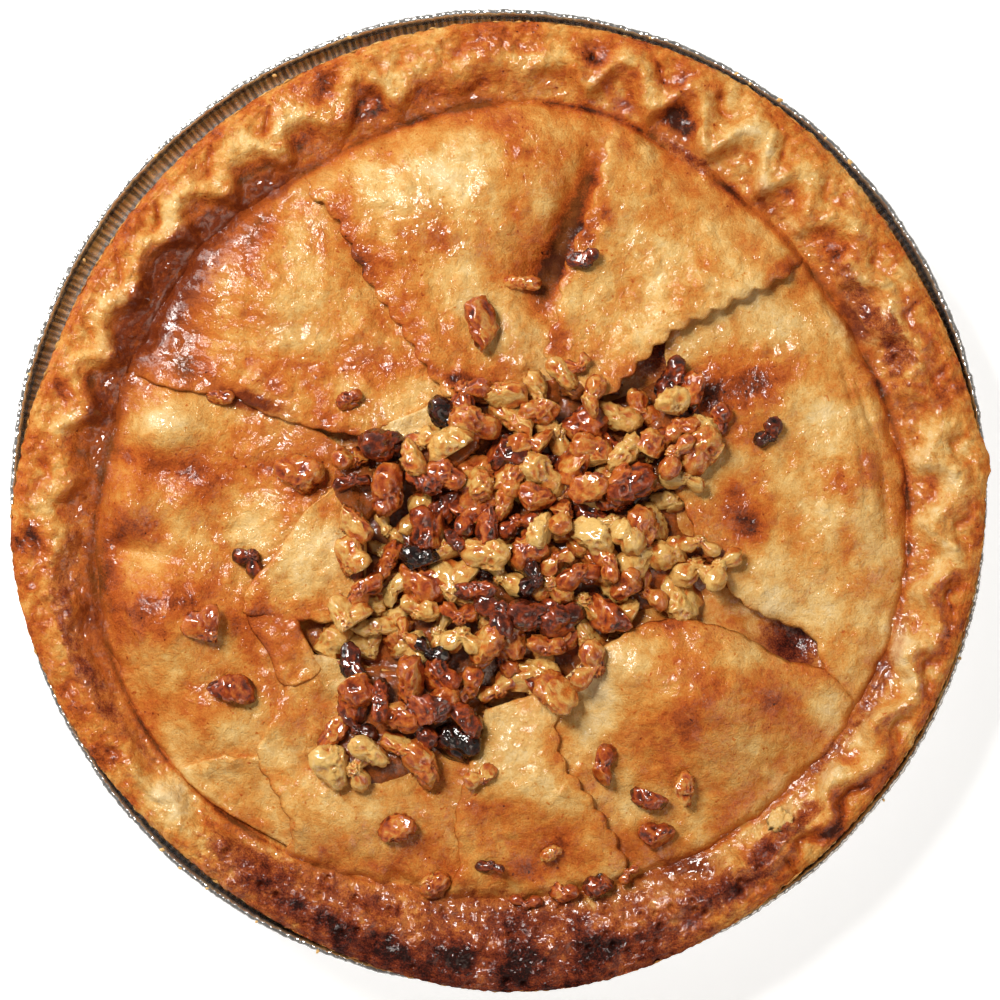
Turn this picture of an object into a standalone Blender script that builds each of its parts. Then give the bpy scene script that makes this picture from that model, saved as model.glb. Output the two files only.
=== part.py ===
"""Walnut-topped apple pie baked in its own foil tin.

Metres, +Z up. The origin is the middle of the tin's flat base. The pie is seen from +Z with the
front of the tin towards -Y. Lengths below are in millimetres and are turned into metres by MM.
"""
import math
import random

import bmesh
import bpy
from mathutils import Vector, noise
from mathutils.bvhtree import BVHTree

MM = 0.001

# foil tin: rolled bead, short band, pleated ledge that carries the crust, sloping wall, flat base
TIN_CENTRE = (-0.3, 0.56)
TIN_RADIUS = 123.0
TIN_HEIGHT = 36.4
TIN_BEAD = 1.1
TIN_WALL = 0.4
TIN_BASE_RADIUS = 93.0
TIN_LEDGE_HEIGHT = 30.4
TIN_LEDGE_INNER = 112.6
TIN_LEDGE_OUTER = 119.4
TIN_STEPS = 40

# bottom crust with its crimped edge
CRUST_STEPS = 160
CRUST_CLEARANCE = 0.35
CRUST_FLOOR = 3.6
CRUST_WALL = 6.0
CRUST_LOW_EDGE = 37.2
CREASE_HEIGHT = 38.0
SHOULDER_RISE = 3.6
FLUTES = 40
FLUTE_HEIGHT = 3.4
FLUTE_SWING = 0.16
FLUTE_WIDTH = 0.17

# lid leaves
LEAF_THICKNESS = 2.4
LID_EDGE_HEIGHT = 35.3
DOME_RISE = 7.0
LID_RADIUS = 102.0
SEAM = 2.1

# apple filling below the lid
FILLING_GAP = 1.7
FILLING_INSET = 2.6
FILLING_STEPS = 32

# walnuts
HEAP_CENTRE = (10.0, -14.0)
HEAP_RISE = 9.5
HEAP_RIM = 0.34                     # height of the heap's edge as a share of its rise
HEAP_REACH = 9.5                    # the heap clears everything within this distance
HEAP_GAP = 1.0
HEAP_LUMP = 9.0
HEAP_CELLS = (28, 8)
NUT_GAP = 0.5

# outside radius of the baked edge against angle, anticlockwise from +X
EDGE_RADII = [(0, 121.6), (30, 119.0), (55, 120.6), (90, 120.0), (110, 118.2), (140, 117.2),
              (160, 117.7), (174, 120.6), (186, 123.1), (205, 121.6), (225, 119.4), (240, 119.5),
              (255, 121.0), (268, 123.0), (280, 123.3), (295, 121.6), (310, 120.0), (330, 120.2),
              (345, 120.8)]
# radius of the valley between the crimped edge and the lid
CREASE_RADII = [(0, 103.0), (20, 99.5), (40, 97.5), (60, 98.0), (75, 101.0), (90, 100.5),
                (105, 98.0), (120, 96.5), (140, 98.5), (160, 98.5), (175, 100.5), (190, 104.5),
                (215, 106.5), (235, 104.5), (255, 101.5), (280, 101.5), (300, 102.5), (320, 104.0),
                (345, 104.5)]
# how much of the crimping is left: the front is buried under burnt sugar
FLUTE_DEPTHS = [(0, 0.8), (30, 0.75), (50, 1.0), (75, 1.0), (88, 0.4), (98, 0.5), (110, 0.9),
                (165, 0.8), (180, 0.4), (205, 0.4), (230, 0.3), (245, 0.12), (290, 0.12), (301, 0.7),
                (320, 0.95), (350, 0.9)]
EDGE_LIP = (4.6, 2.6, 2.2)          # angle, reach in degrees and height of the torn bit on the right

# swellings of the lid: x, y, radius, height
BULGES = [(-4, 82, 26, 3.0), (38, 62, 24, 2.4), (84, 12, 20, 2.6), (47, -52, 26, 5.0), (6, -68, 15, 2.6),
          (-34, -74, 18, 2.2), (-80, 14, 17, 4.6), (-78, -24, 18, 4.6), (-74, -54, 14, 2.6),
          (-62, 52, 20, 2.2), (8, 60, 10, -2.4), (72, -34, 8, -3.0)]

# each leaf: first edge, second edge, crease angles or None, lift of the two edges, cells across and along
LEAVES = {
    "lid_leaf_back": dict(
        first=[(-47.5, 80.2), (-41.8, 69.5), (-33.0, 54.0), (-25.3, 43.0), (-17.8, 31.5), (-11.5, 26.0)],
        second=[(26.1, 92.5), (24.0, 81.3), (21.6, 72.0), (14.9, 56.0), (13.2, 45.0), (10.5, 36.0),
                (11.0, 24.0)],
        crease=(120.4, 74.6), lifts=(3.0, 0.6), cells=(7, 11)),
    "lid_leaf_back_right": dict(
        first=[(27.0, 92.6), (24.7, 81.3), (22.3, 72.0), (15.6, 56.0), (13.9, 45.0), (11.2, 36.0),
               (16.5, 26.3)],
        second=[(76.4, 60.6), (61.3, 50.2), (52.5, 46.0), (44.0, 42.0), (37.3, 36.4), (27.0, 25.5)],
        crease=(73.6, 38.8), lifts=(4.0, 3.4), cells=(6, 10)),
    "lid_leaf_right": dict(
        first=[(77.0, 59.6), (61.8, 49.2), (52.9, 45.0), (47.0, 38.5), (45.5, 26.0), (44.0, 15.0)],
        second=[(89.0, -50.0), (80.5, -38.5), (70.8, -32.0), (57.3, -23.5), (50.0, -11.0), (45.5, 3.0)],
        crease=(37.8, -28.6), lifts=(0.0, 1.0), cells=(8, 7)),
    "lid_leaf_front_right": dict(
        first=[(88.4, -51.4), (84.0, -44.8), (77.5, -40.0), (68.5, -40.5), (63.5, -37.4), (54.5, -31.8),
               (47.3, -30.2), (36.3, -30.5), (25.0, -38.5)],
        second=[(36.0, -95.0), (29.6, -82.5), (22.3, -72.0), (17.4, -66.0), (15.3, -58.0), (15.2, -50.0)],
        crease=(-30.4, -69.4), lifts=(2.0, 0.6), cells=(7, 9)),
    "lid_leaf_front": dict(
        first=[(35.0, -95.4), (28.6, -82.0), (21.3, -71.6), (16.3, -65.6), (14.3, -58.0), (14.2, -48.5)],
        second=[(-15.6, -100.0), (-10.4, -90.0), (-11.4, -80.5), (-9.8, -72.5), (-6.0, -62.0),
                (-3.0, -54.0)],
        crease=(-70.6, -98.6), lifts=(2.6, 2.6), cells=(5, 8)),
    "lid_leaf_front_left": dict(
        first=[(-16.6, -100.4), (-11.4, -90.0), (-12.4, -80.5), (-10.8, -72.5), (-10.0, -62.0),
               (-18.0, -48.0)],
        second=[(-54.0, -89.5), (-51.5, -82.0), (-55.8, -72.8), (-60.5, -63.8), (-55.8, -55.3),
                (-51.3, -50.3), (-44.5, -44.2)],
        crease=(-99.6, -121.4), lifts=(0.0, 3.0), cells=(6, 8)),
    "lid_leaf_front_small": dict(
        first=[(-54.0, -85.6), (-52.3, -82.3), (-56.6, -73.0), (-61.2, -66.0)],
        second=[(-71.6, -73.6), (-78.4, -68.2), (-76.6, -67.2), (-68.5, -65.2)],
        crease=None, lifts=(0.4, 1.6), cells=(4, 5)),
    "lid_leaf_left": dict(
        first=[(-80.6, -66.4), (-78.0, -65.4), (-68.3, -63.2), (-61.2, -63.0), (-57.4, -55.3),
               (-58.4, -46.0), (-63.6, -38.0), (-68.0, -29.0)],
        second=[(-92.6, 30.5), (-82.5, 27.8), (-72.0, 26.0), (-65.0, 24.4), (-58.5, 20.3), (-53.0, 16.0),
                (-52.0, 4.0), (-51.5, -4.0)],
        crease=(220.2, 161.8), lifts=(0.0, 0.0), cells=(9, 7)),
    "lid_leaf_left_under": dict(
        first=[(-61.6, -32.2), (-56.8, -38.6), (-54.4, -45.2), (-50.6, -46.4)],
        second=[(-51.4, -32.8), (-45.8, -41.6), (-44.2, -42.0), (-45.6, -43.4)],
        crease=None, lifts=(3.6, 3.6), cells=(3, 4)),
    "lid_leaf_left_inner": dict(
        first=[(-50.5, -3.8), (-55.8, -13.5), (-62.8, -21.8), (-64.0, -28.8)],
        second=[(-37.5, 4.0), (-36.0, -10.0), (-35.0, -22.0), (-38.0, -31.5)],
        crease=None, lifts=(3.4, 3.6), cells=(4, 6)),
    "lid_leaf_back_left": dict(
        first=[(-48.4, 79.4), (-42.8, 69.3), (-34.0, 53.8), (-26.3, 42.8), (-18.8, 31.3), (-13.5, 26.0)],
        second=[(-92.2, 31.8), (-82.5, 28.8), (-72.0, 27.0), (-65.0, 25.4), (-58.5, 21.3), (-46.0, 17.6),
                (-34.0, 16.5)],
        crease=(121.4, 161.0), lifts=(0.0, 3.0), cells=(7, 9)),
    "lid_leaf_middle": dict(
        first=[(-12.4, 24.8), (-5.5, 21.5), (-3.6, 17.0), (-9.0, 9.0)],
        second=[(-33.0, 15.6), (-29.0, 11.5), (-25.0, 8.5), (-20.0, 5.0)],
        crease=None, lifts=(1.6, 0.8), cells=(4, 3)),
}

# outline of the walnut heap as radius against angle about HEAP_CENTRE
HEAP_RADII = [(0, 49.0), (25, 52.0), (50, 52.0), (75, 42.5), (100, 41.5), (125, 44.0), (150, 53.0),
              (172, 52.0), (190, 48.0), (205, 51.0), (222, 68.0), (238, 63.0), (255, 47.0),
              (275, 39.0), (300, 36.0), (330, 41.0)]

# loose pieces: x, y, length, width, height, turn in degrees, colour name
LOOSE = {
    "walnut_01": (20.5, 59.5, 8.6, 6.6, 5.6, 10, "burnt"),
    "walnut_02": (-4.3, 44.0, 15.0, 7.4, 5.8, -60, "brown"),
    "walnut_03": (18.5, 33.0, 8.4, 7.4, 5.8, 30, "amber"),
    "walnut_04": (-69.5, 25.5, 7.4, 6.2, 4.8, 20, "brown"),
    "walnut_05": (-37.5, 25.0, 6.4, 5.6, 4.4, 70, "amber"),
    "walnut_06": (67.0, 17.0, 9.2, 7.4, 5.8, 60, "burnt"),
    "walnut_07": (54.8, 20.5, 8.4, 6.8, 5.0, 100, "amber"),
    "walnut_08": (-62.3, -15.0, 9.0, 7.8, 5.8, -30, "burnt"),
    "walnut_09": (-73.8, -31.0, 10.6, 9.4, 5.8, 15, "amber"),
    "walnut_10": (-66.3, -47.5, 11.2, 9.2, 6.2, 25, "burnt"),
    "walnut_11": (26.0, -66.0, 11.6, 7.4, 5.8, 80, "brown"),
    "walnut_12": (37.0, -74.3, 8.8, 8.2, 6.2, 0, "brown"),
    "walnut_13": (45.8, -71.5, 9.8, 6.6, 5.4, 80, "amber"),
    "walnut_14": (39.3, -83.8, 9.8, 6.6, 5.0, 5, "brown"),
    "walnut_15": (-25.5, -81.3, 9.6, 8.0, 6.0, 10, "amber"),
    "walnut_16": (-2.5, -91.5, 6.8, 6.2, 4.8, 0, "burnt"),
    "walnut_17": (12.8, -88.0, 6.4, 4.8, 4.0, 10, "apple"),
    "walnut_18": (-16.0, -96.0, 8.4, 5.2, 4.2, -10, "amber"),
    "walnut_19": (-50.0, 6.3, 14.4, 8.4, 5.8, 12, "amber"),
    "walnut_20": (-4.8, -68.5, 9.8, 5.6, 4.4, 30, "amber"),
    "walnut_21": (15.8, -98.0, 8.2, 6.6, 4.6, 0, "brown"),
    "walnut_22": (24.4, -96.0, 8.0, 6.2, 4.6, 15, "burnt"),
    "walnut_23": (32.2, -93.4, 6.4, 5.2, 4.2, 40, "amber"),
    "walnut_24": (6.4, -100.4, 8.4, 6.2, 4.6, -5, "brown"),
    "apple_chunk": (5.2, 54.0, 9.0, 8.0, 6.0, 0, "apple"),
}

# name: colour, roughness, metallic
FINISHES = {
    "foil": ((0.80, 0.80, 0.81), 0.30, 1.0), "pastry": ((0.72, 0.42, 0.13), 0.42, 0.0),
    "filling": ((0.46, 0.20, 0.05), 0.25, 0.0), "amber": ((0.50, 0.20, 0.06), 0.30, 0.0),
    "brown": ((0.26, 0.08, 0.03), 0.30, 0.0), "burnt": ((0.08, 0.03, 0.015), 0.30, 0.0),
    "apple": ((0.62, 0.36, 0.12), 0.25, 0.0),
}


def mix(a, b, t):
    return a + (b - a) * t


def smooth_step(low, high, value):
    t = min(1.0, max(0.0, (value - low) / (high - low)))
    return t * t * (3.0 - 2.0 * t)


def catmull(a, b, c, d, t):
    return 0.5 * (2.0 * b + (c - a) * t + (2.0 * a - 5.0 * b + 4.0 * c - d) * t ** 2
                  + (3.0 * b - 3.0 * c + d - a) * t ** 3)


def around(table, degrees):
    """Smooth value at an angle, through (angle, value) pairs that go once round."""
    degrees %= 360.0
    count = len(table)
    index = max(i for i in range(count) if table[i][0] <= degrees)
    after = table[(index + 1) % count][0] + (360.0 if index == count - 1 else 0.0)
    t = (degrees - table[index][0]) / (after - table[index][0])
    picked = [table[(index + k) % count][1] for k in (-1, 0, 1, 2)]
    return catmull(*picked, t)


def along(points, t):
    """Point at share t of the length of a smooth curve through the points."""
    points = [Vector(p) for p in points]
    lengths = [(b - a).length for a, b in zip(points, points[1:])]
    run = t * sum(lengths)
    index = 0
    while index < len(lengths) - 1 and run > lengths[index]:
        run -= lengths[index]
        index += 1
    before = points[max(index - 1, 0)]
    after = points[min(index + 2, len(points) - 1)]
    return catmull(before, points[index], points[index + 1], after, run / lengths[index])


def lid_under(x, y, lowest_rise=-9.0, highest_rise=9.0):
    """Height of the underside of the lid, with the swellings between the two rises."""
    share = min(1.0, math.hypot(x, y) / LID_RADIUS)
    height = LID_EDGE_HEIGHT + DOME_RISE * (1.0 - share ** 2) ** 0.8
    edge = 1.0 - smooth_step(0.86, 1.0, share)
    for cx, cy, radius, rise in BULGES:
        if lowest_rise < rise < highest_rise:
            height += edge * rise * math.exp(-((x - cx) ** 2 + (y - cy) ** 2) / radius ** 2)
    return height


def collection(name):
    made = bpy.data.collections.new(name)
    bpy.context.scene.collection.children.link(made)
    return made


def finish(name):
    colour, roughness, metallic = FINISHES[name]
    material = bpy.data.materials.new(name)
    material.use_nodes = True
    shader = material.node_tree.nodes["Principled BSDF"]
    shader.inputs["Base Color"].default_value = (*colour, 1.0)
    shader.inputs["Roughness"].default_value = roughness
    shader.inputs["Metallic"].default_value = metallic
    return material


def add_object(name, bm, material, parts):
    mesh = bpy.data.meshes.new(name)
    bm.to_mesh(mesh)
    bm.free()
    mesh.shade_smooth()
    mesh.set_sharp_from_angle(angle=math.radians(50))
    mesh.materials.append(material)
    made = bpy.data.objects.new(name, mesh)
    parts.objects.link(made)
    return made


def spun_rings(rings, steps):
    """Closed solid of rings round Z. Each ring turns an angle in degrees into (r, z) in mm."""
    bm = bmesh.new()
    last = len(rings) - 1
    verts = [bm.verts.new((0.0 if i in (0, last) else 1.0, 0.0, float(i))) for i in range(last + 1)]
    edges = [bm.edges.new(pair) for pair in zip(verts, verts[1:])]
    bmesh.ops.spin(bm, geom=verts + edges, axis=(0, 0, 1), cent=(0, 0, 0), angle=2 * math.pi,
                   steps=steps, use_merge=True)
    bmesh.ops.remove_doubles(bm, verts=bm.verts, dist=0.0001)
    for vert in bm.verts:
        index = round(vert.co.z)
        angle = math.atan2(vert.co.y, vert.co.x)
        radius, height = rings[index](math.degrees(angle))
        if index in (0, last):
            radius = 0.0
        vert.co = Vector((radius * math.cos(angle), radius * math.sin(angle), height)) * MM
    bmesh.ops.recalc_face_normals(bm, faces=bm.faces)
    return bm


def foil_tin(material, parts):
    """Turned wall with a rolled bead. The profile runs up the inside and down the outside."""
    base, top = TIN_BASE_RADIUS, TIN_HEIGHT
    ledge_in, ledge_out, ledge = TIN_LEDGE_INNER, TIN_LEDGE_OUTER, TIN_LEDGE_HEIGHT
    bead_r, bead_z = TIN_RADIUS - TIN_BEAD, top - TIN_BEAD
    inside = [(0.0, TIN_WALL), (base - 3.4, TIN_WALL), (base - 0.4, 2.4), (ledge_in - 0.6, ledge - 0.4),
              (ledge_in + 0.4, ledge), (ledge_out, ledge), (bead_r - TIN_BEAD, bead_z - 0.5)]
    bead = [(bead_r + TIN_BEAD * math.cos(a), bead_z + TIN_BEAD * math.sin(a))
            for a in (math.radians(150 - 60 * k) for k in range(5))]
    outside = [(ledge_out + 0.6, ledge - TIN_WALL), (ledge_in + 0.5, ledge - TIN_WALL), (base, 2.2),
               (base - 3.0, 0.0), (0.0, 0.0)]
    mesh = bpy.data.meshes.new("foil_tin")
    profile = inside + bead + outside
    mesh.from_pydata([(r * MM, 0.0, z * MM) for r, z in profile],
                     [(i, i + 1) for i in range(len(profile) - 1)], [])
    mesh.materials.append(material)
    tin = bpy.data.objects.new("foil_tin", mesh)
    tin.location = (TIN_CENTRE[0] * MM, TIN_CENTRE[1] * MM, 0.0)
    parts.objects.link(tin)
    screw = tin.modifiers.new("Turn", "SCREW")
    screw.axis = "Z"
    screw.angle = 2 * math.pi
    screw.steps = TIN_STEPS
    screw.render_steps = TIN_STEPS
    screw.use_merge_vertices = True
    screw.merge_threshold = 0.0001
    weld = tin.modifiers.new("Close poles", "WELD")
    weld.merge_threshold = 0.0001
    return tin


def edge_radius(degrees):
    angle, reach, height = EDGE_LIP
    away = (degrees - angle + 180.0) % 360.0 - 180.0
    return around(EDGE_RADII, degrees) + height * math.exp(-(away / reach) ** 2)


def crimp_ring(share):
    """Ring of the crimped edge at a share of the way from the crease to the outside."""
    def ring(degrees):
        inner = around(CREASE_RADII, degrees)
        depth = around(FLUTE_DEPTHS, degrees)
        swing = math.sin(math.radians(FLUTES * degrees))
        ridge = math.exp(-((share - 0.5 - FLUTE_SWING * swing * depth) / FLUTE_WIDTH) ** 2)
        height = CREASE_HEIGHT + SHOULDER_RISE * smooth_step(0.0, 0.8, share) * (1.0 - 0.25 * share)
        height += FLUTE_HEIGHT * ridge * mix(0.45, 1.0, depth) * smooth_step(0.0, 0.2, share)
        return mix(inner, edge_radius(degrees) - 0.6, share), height
    return ring


def bottom_crust(material, parts):
    """Pastry bowl against the tin's wall, its edge lying on the ledge and crimped."""
    underside = TIN_WALL + CRUST_CLEARANCE
    ledge_top = TIN_LEDGE_HEIGHT + 0.5

    def ledge(degrees):
        return min(TIN_LEDGE_OUTER - 1.9, edge_radius(degrees) - 0.8), ledge_top

    def beside_band(degrees):
        return min(TIN_LEDGE_OUTER + 0.1, edge_radius(degrees) - 0.4), CRUST_LOW_EDGE - 0.2

    rings = [lambda degrees: (0.0, underside), lambda degrees: (TIN_BASE_RADIUS - 4.8, underside),
             lambda degrees: (TIN_LEDGE_INNER - 1.5, ledge_top), ledge, beside_band,
             lambda degrees: (edge_radius(degrees), CRUST_LOW_EDGE + 0.6)]
    rings += [crimp_ring(share) for share in (1.0, 0.79, 0.6, 0.41, 0.2, 0.0)]
    rings += [lambda degrees: (TIN_BASE_RADIUS - CRUST_WALL, CRUST_FLOOR),
              lambda degrees: (0.0, CRUST_FLOOR)]
    return add_object("bottom_crust", spun_rings(rings, CRUST_STEPS), material, parts)


def apple_filling(material, parts):
    """Everything between the crust and the lid, up to just below the leaves."""
    def side(share):
        def ring(degrees):
            radius = mix(TIN_BASE_RADIUS - CRUST_WALL - 0.8,
                         around(CREASE_RADII, degrees) - FILLING_INSET - 1.0, share)
            return radius, mix(CRUST_FLOOR + 0.5, LID_EDGE_HEIGHT - 2.0, share)
        return ring

    def top(share):
        def ring(degrees):
            radius = (around(CREASE_RADII, degrees) - FILLING_INSET) * share
            x, y = radius * math.cos(math.radians(degrees)), radius * math.sin(math.radians(degrees))
            return radius, lid_under(x, y, highest_rise=0.0) - FILLING_GAP
        return ring

    rings = [lambda degrees: (0.0, CRUST_FLOOR + 0.5), side(0.0), side(1.0)]
    rings += [top(share) for share in (1.0, 0.9, 0.78, 0.64, 0.48, 0.3, 0.0)]
    return add_object("apple_filling", spun_rings(rings, FILLING_STEPS), material, parts)


def leaf_point(leaf, u, v):
    """Plan position on a leaf: u runs from first to second edge, v from the outer end to the tip."""
    first, second = along(leaf["first"], v), along(leaf["second"], v)
    flat = first.lerp(second, u)
    if leaf["crease"]:
        degrees = mix(*leaf["crease"], u)
        radius = around(CREASE_RADII, degrees) - SEAM
        base = Vector((math.cos(math.radians(degrees)), math.sin(math.radians(degrees)))) * radius
        chord = Vector(leaf["first"][0]).lerp(Vector(leaf["second"][0]), u)
        flat += (base - chord) * (1.0 - v) ** 2
    return flat


def leaf_lift(leaf, u, v):
    """Rise over the lid's underside: none at the crease, most along the edges and at the tip."""
    first, second = leaf["lifts"]
    grow = smooth_step(0.0, 0.3, v) if leaf["crease"] else 1.0
    middle = 0.35 * (first + second) * smooth_step(0.35, 1.0, v)
    across = first * (1.0 - u) ** 2 + second * u ** 2 + middle * 2.0 * u * (1.0 - u)
    return across * grow


def lid_leaf(name, leaf, material, parts):
    bm = bmesh.new()
    bmesh.ops.create_grid(bm, x_segments=leaf["cells"][0], y_segments=leaf["cells"][1], size=0.5)
    for vert in bm.verts:
        u, v = vert.co.x + 0.5, vert.co.y + 0.5
        flat = leaf_point(leaf, u, v)
        height = lid_under(flat.x, flat.y) + leaf_lift(leaf, u, v)
        vert.co = Vector((flat.x, flat.y, height)) * MM
    bm.normal_update()
    if sum(face.normal.z for face in bm.faces) < 0.0:
        bmesh.ops.reverse_faces(bm, faces=bm.faces)
    made = add_object(name, bm, material, parts)
    sheet = made.modifiers.new("Thickness", "SOLIDIFY")
    sheet.thickness = LEAF_THICKNESS * MM
    sheet.offset = 1.0
    return made


def top_height(x, y, trees):
    """Highest point of the leaves, the filling and the crust under (x, y), in mm."""
    hits = [tree.ray_cast(Vector((x * MM, y * MM, 0.2)), Vector((0, 0, -1)))[0] for tree in trees]
    return max([hit.z / MM for hit in hits if hit] or [0.0])


def walnut_heap(material, trees, parts):
    """Lumpy mound: a sphere whose lower half is pressed onto whatever lies under it."""
    bm = bmesh.new()
    bmesh.ops.create_uvsphere(bm, u_segments=HEAP_CELLS[0], v_segments=HEAP_CELLS[1], radius=1.0)
    turns = [math.radians(30 * k) for k in range(12)]
    around_point = [(HEAP_REACH * share * math.cos(a), HEAP_REACH * share * math.sin(a))
                    for share in (0.0, 0.35, 0.7, 1.0) for a in turns]
    for vert in bm.verts:
        share = min(1.0, math.hypot(vert.co.x, vert.co.y))
        degrees = math.degrees(math.atan2(vert.co.y, vert.co.x))
        reach = around(HEAP_RADII, degrees) * share
        x = HEAP_CENTRE[0] + reach * math.cos(math.radians(degrees))
        y = HEAP_CENTRE[1] + reach * math.sin(math.radians(degrees))
        height = max(top_height(x + dx, y + dy, trees) for dx, dy in around_point) + HEAP_GAP
        if vert.co.z > -0.01:
            lump = noise.noise(Vector((x, y, 3.0)) / HEAP_LUMP)
            height += HEAP_RISE * mix(HEAP_RIM, 1.0, (1.0 - share ** 2) ** 0.6) * (1.0 + 0.3 * lump)
        vert.co = Vector((x, y, height)) * MM
    bmesh.ops.recalc_face_normals(bm, faces=bm.faces)
    return add_object("walnut_heap", bm, material, parts)


def loose_piece(name, values, material, trees, parts):
    """Rounded, knobbly chunk that rests on whatever lies under it."""
    x, y, length, width, height, turn, _ = values
    chance = random.Random(name)
    bm = bmesh.new()
    bmesh.ops.create_cube(bm, size=1.0)
    bmesh.ops.subdivide_edges(bm, edges=bm.edges, cuts=1, use_grid_fill=True)
    angle = math.radians(turn)
    for vert in bm.verts:
        unit = vert.co.normalized() * chance.uniform(0.84, 1.0) * 0.5
        px, py = unit.x * length, unit.y * width
        vert.co = Vector((x + px * math.cos(angle) - py * math.sin(angle),
                          y + px * math.sin(angle) + py * math.cos(angle), unit.z * height))
    rest = max(top_height(v.co.x, v.co.y, trees) - v.co.z for v in bm.verts if v.co.z < 0.2 * height)
    for vert in bm.verts:
        vert.co = (vert.co + Vector((0.0, 0.0, rest + NUT_GAP))) * MM
    return add_object(name, bm, material, parts)


def surface_tree(made):
    """Ray-casting tree of an object as its modifiers leave it."""
    return BVHTree.FromObject(made, bpy.context.evaluated_depsgraph_get())


def build():
    for old in list(bpy.data.objects):
        bpy.data.objects.remove(old, do_unlink=True)
    parts = collection("walnut_apple_pie")
    materials = {name: finish(name) for name in FINISHES}
    foil_tin(materials["foil"], parts)
    under = [bottom_crust(materials["pastry"], parts), apple_filling(materials["filling"], parts)]
    under += [lid_leaf(name, leaf, materials["pastry"], parts) for name, leaf in LEAVES.items()]
    bpy.context.view_layer.update()
    trees = [surface_tree(made) for made in under]
    walnut_heap(materials["amber"], trees, parts)
    for name, values in LOOSE.items():
        loose_piece(name, values, materials[values[-1]], trees, parts)


build()
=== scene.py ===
import math
import random

import bmesh
import bpy
import numpy as np
from mathutils import Matrix, Vector, noise
from mathutils.bvhtree import BVHTree


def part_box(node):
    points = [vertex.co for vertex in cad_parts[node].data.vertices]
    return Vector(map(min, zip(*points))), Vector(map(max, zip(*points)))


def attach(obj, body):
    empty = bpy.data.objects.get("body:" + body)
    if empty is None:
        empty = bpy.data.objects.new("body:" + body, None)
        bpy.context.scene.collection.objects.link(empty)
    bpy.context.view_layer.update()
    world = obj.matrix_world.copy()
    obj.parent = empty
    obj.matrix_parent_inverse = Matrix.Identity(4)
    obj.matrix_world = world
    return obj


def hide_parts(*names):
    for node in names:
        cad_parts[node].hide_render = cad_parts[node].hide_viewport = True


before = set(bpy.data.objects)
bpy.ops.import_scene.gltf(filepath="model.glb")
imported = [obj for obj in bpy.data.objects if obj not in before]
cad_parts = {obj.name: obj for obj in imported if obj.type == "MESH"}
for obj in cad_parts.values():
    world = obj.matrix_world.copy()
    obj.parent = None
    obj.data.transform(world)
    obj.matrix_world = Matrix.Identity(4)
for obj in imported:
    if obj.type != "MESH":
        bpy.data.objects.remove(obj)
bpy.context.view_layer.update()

mm = 0.001  # every plan measure below is in millimetres from the middle of the pie

lookDown = dict(height=1.2, level=0.0385, across=0.25, sensor=36.0, clip=(0.05, 10.0))
sky = dict(low=0.36, high=0.09, rise=(0.1, 0.95), colour=(1.0, 0.95, 0.88))  # bright low down, dim overhead
lampAim = (0.0, 0.0, 0.04)
softboxes = dict(
    key=dict(place=(-0.54, 0.54, 1.05), size=(0.38, 0.46), power=11.0, colour=(1.0, 0.965, 0.91)),
    gloss=dict(place=(-0.36, 0.42, 1.15), size=(0.12, 0.12), power=5.0, colour=(1.0, 0.98, 0.95)),
    side=dict(place=(-0.95, 0.75, 0.5), size=(0.3, 0.8), power=3.4, colour=(1.0, 0.97, 0.93)),
    fill=dict(place=(0.7, -0.6, 1.0), size=(0.9, 0.9), power=3.0, colour=(1.0, 0.88, 0.74)))


def aimAt(thing, target):
    away = thing.location - Vector(target)
    thing.rotation_mode = "QUATERNION"
    thing.rotation_quaternion = away.to_track_quat("Z", "Y")


def makeStage():
    scene = bpy.context.scene
    scene.view_settings.view_transform = "Standard"
    camData = bpy.data.cameras.new("overhead")
    camData.sensor_width = lookDown["sensor"]
    camData.lens = lookDown["sensor"] * (lookDown["height"] - lookDown["level"]) / lookDown["across"]
    camData.clip_start, camData.clip_end = lookDown["clip"]
    cam = bpy.data.objects.new("overhead", camData)
    cam.location = (0.0, 0.0, lookDown["height"])
    scene.collection.objects.link(cam)
    scene.camera = cam
    world = bpy.data.worlds.new("studio")
    world.use_nodes = True
    tree = world.node_tree
    back = tree.nodes["Background"]
    back.inputs["Color"].default_value = (*sky["colour"], 1.0)
    split = tree.nodes.new("ShaderNodeSeparateXYZ")
    tree.links.new(tree.nodes.new("ShaderNodeTexCoord").outputs["Generated"], split.inputs[0])
    strength = mapNode(tree, split.outputs["Z"], *sky["rise"], sky["low"], sky["high"])
    tree.links.new(strength, back.inputs["Strength"])
    scene.world = world
    for name, box in softboxes.items():
        lampData = bpy.data.lights.new(name, "AREA")
        lampData.shape = "RECTANGLE"
        lampData.size, lampData.size_y = box["size"]
        lampData.energy = box["power"]
        lampData.color = box["colour"]
        lamp = bpy.data.objects.new(name, lampData)
        lamp.location = box["place"]
        aimAt(lamp, lampAim)
        scene.collection.objects.link(lamp)
    bm = bmesh.new()
    bmesh.ops.create_grid(bm, x_segments=8, y_segments=8, size=paper["half"])
    floor = bpy.data.objects.new("floor", meshFrom(bm, "floor"))
    floor.location.z = -paper["below"] * mm
    scene.collection.objects.link(floor)
    floor.data.materials.append(paperMaterial())


def clamp01(a):
    return np.clip(a, 0.0, 1.0)


def easeStep(low, high, a):
    t = clamp01((a - low) / (high - low))
    return t * t * (3.0 - 2.0 * t)


def bell(a, width):
    return np.exp(-(a / width) ** 2)


def hashed(i, j, seed):
    h = (i * 374761393 + j * 668265263 + seed * 974634777) & 0xFFFFFFFF
    h = ((h ^ (h >> 13)) * 1274126177) & 0xFFFFFFFF
    return ((h ^ (h >> 16)) & 0xFFFF) / 65535.0


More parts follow.
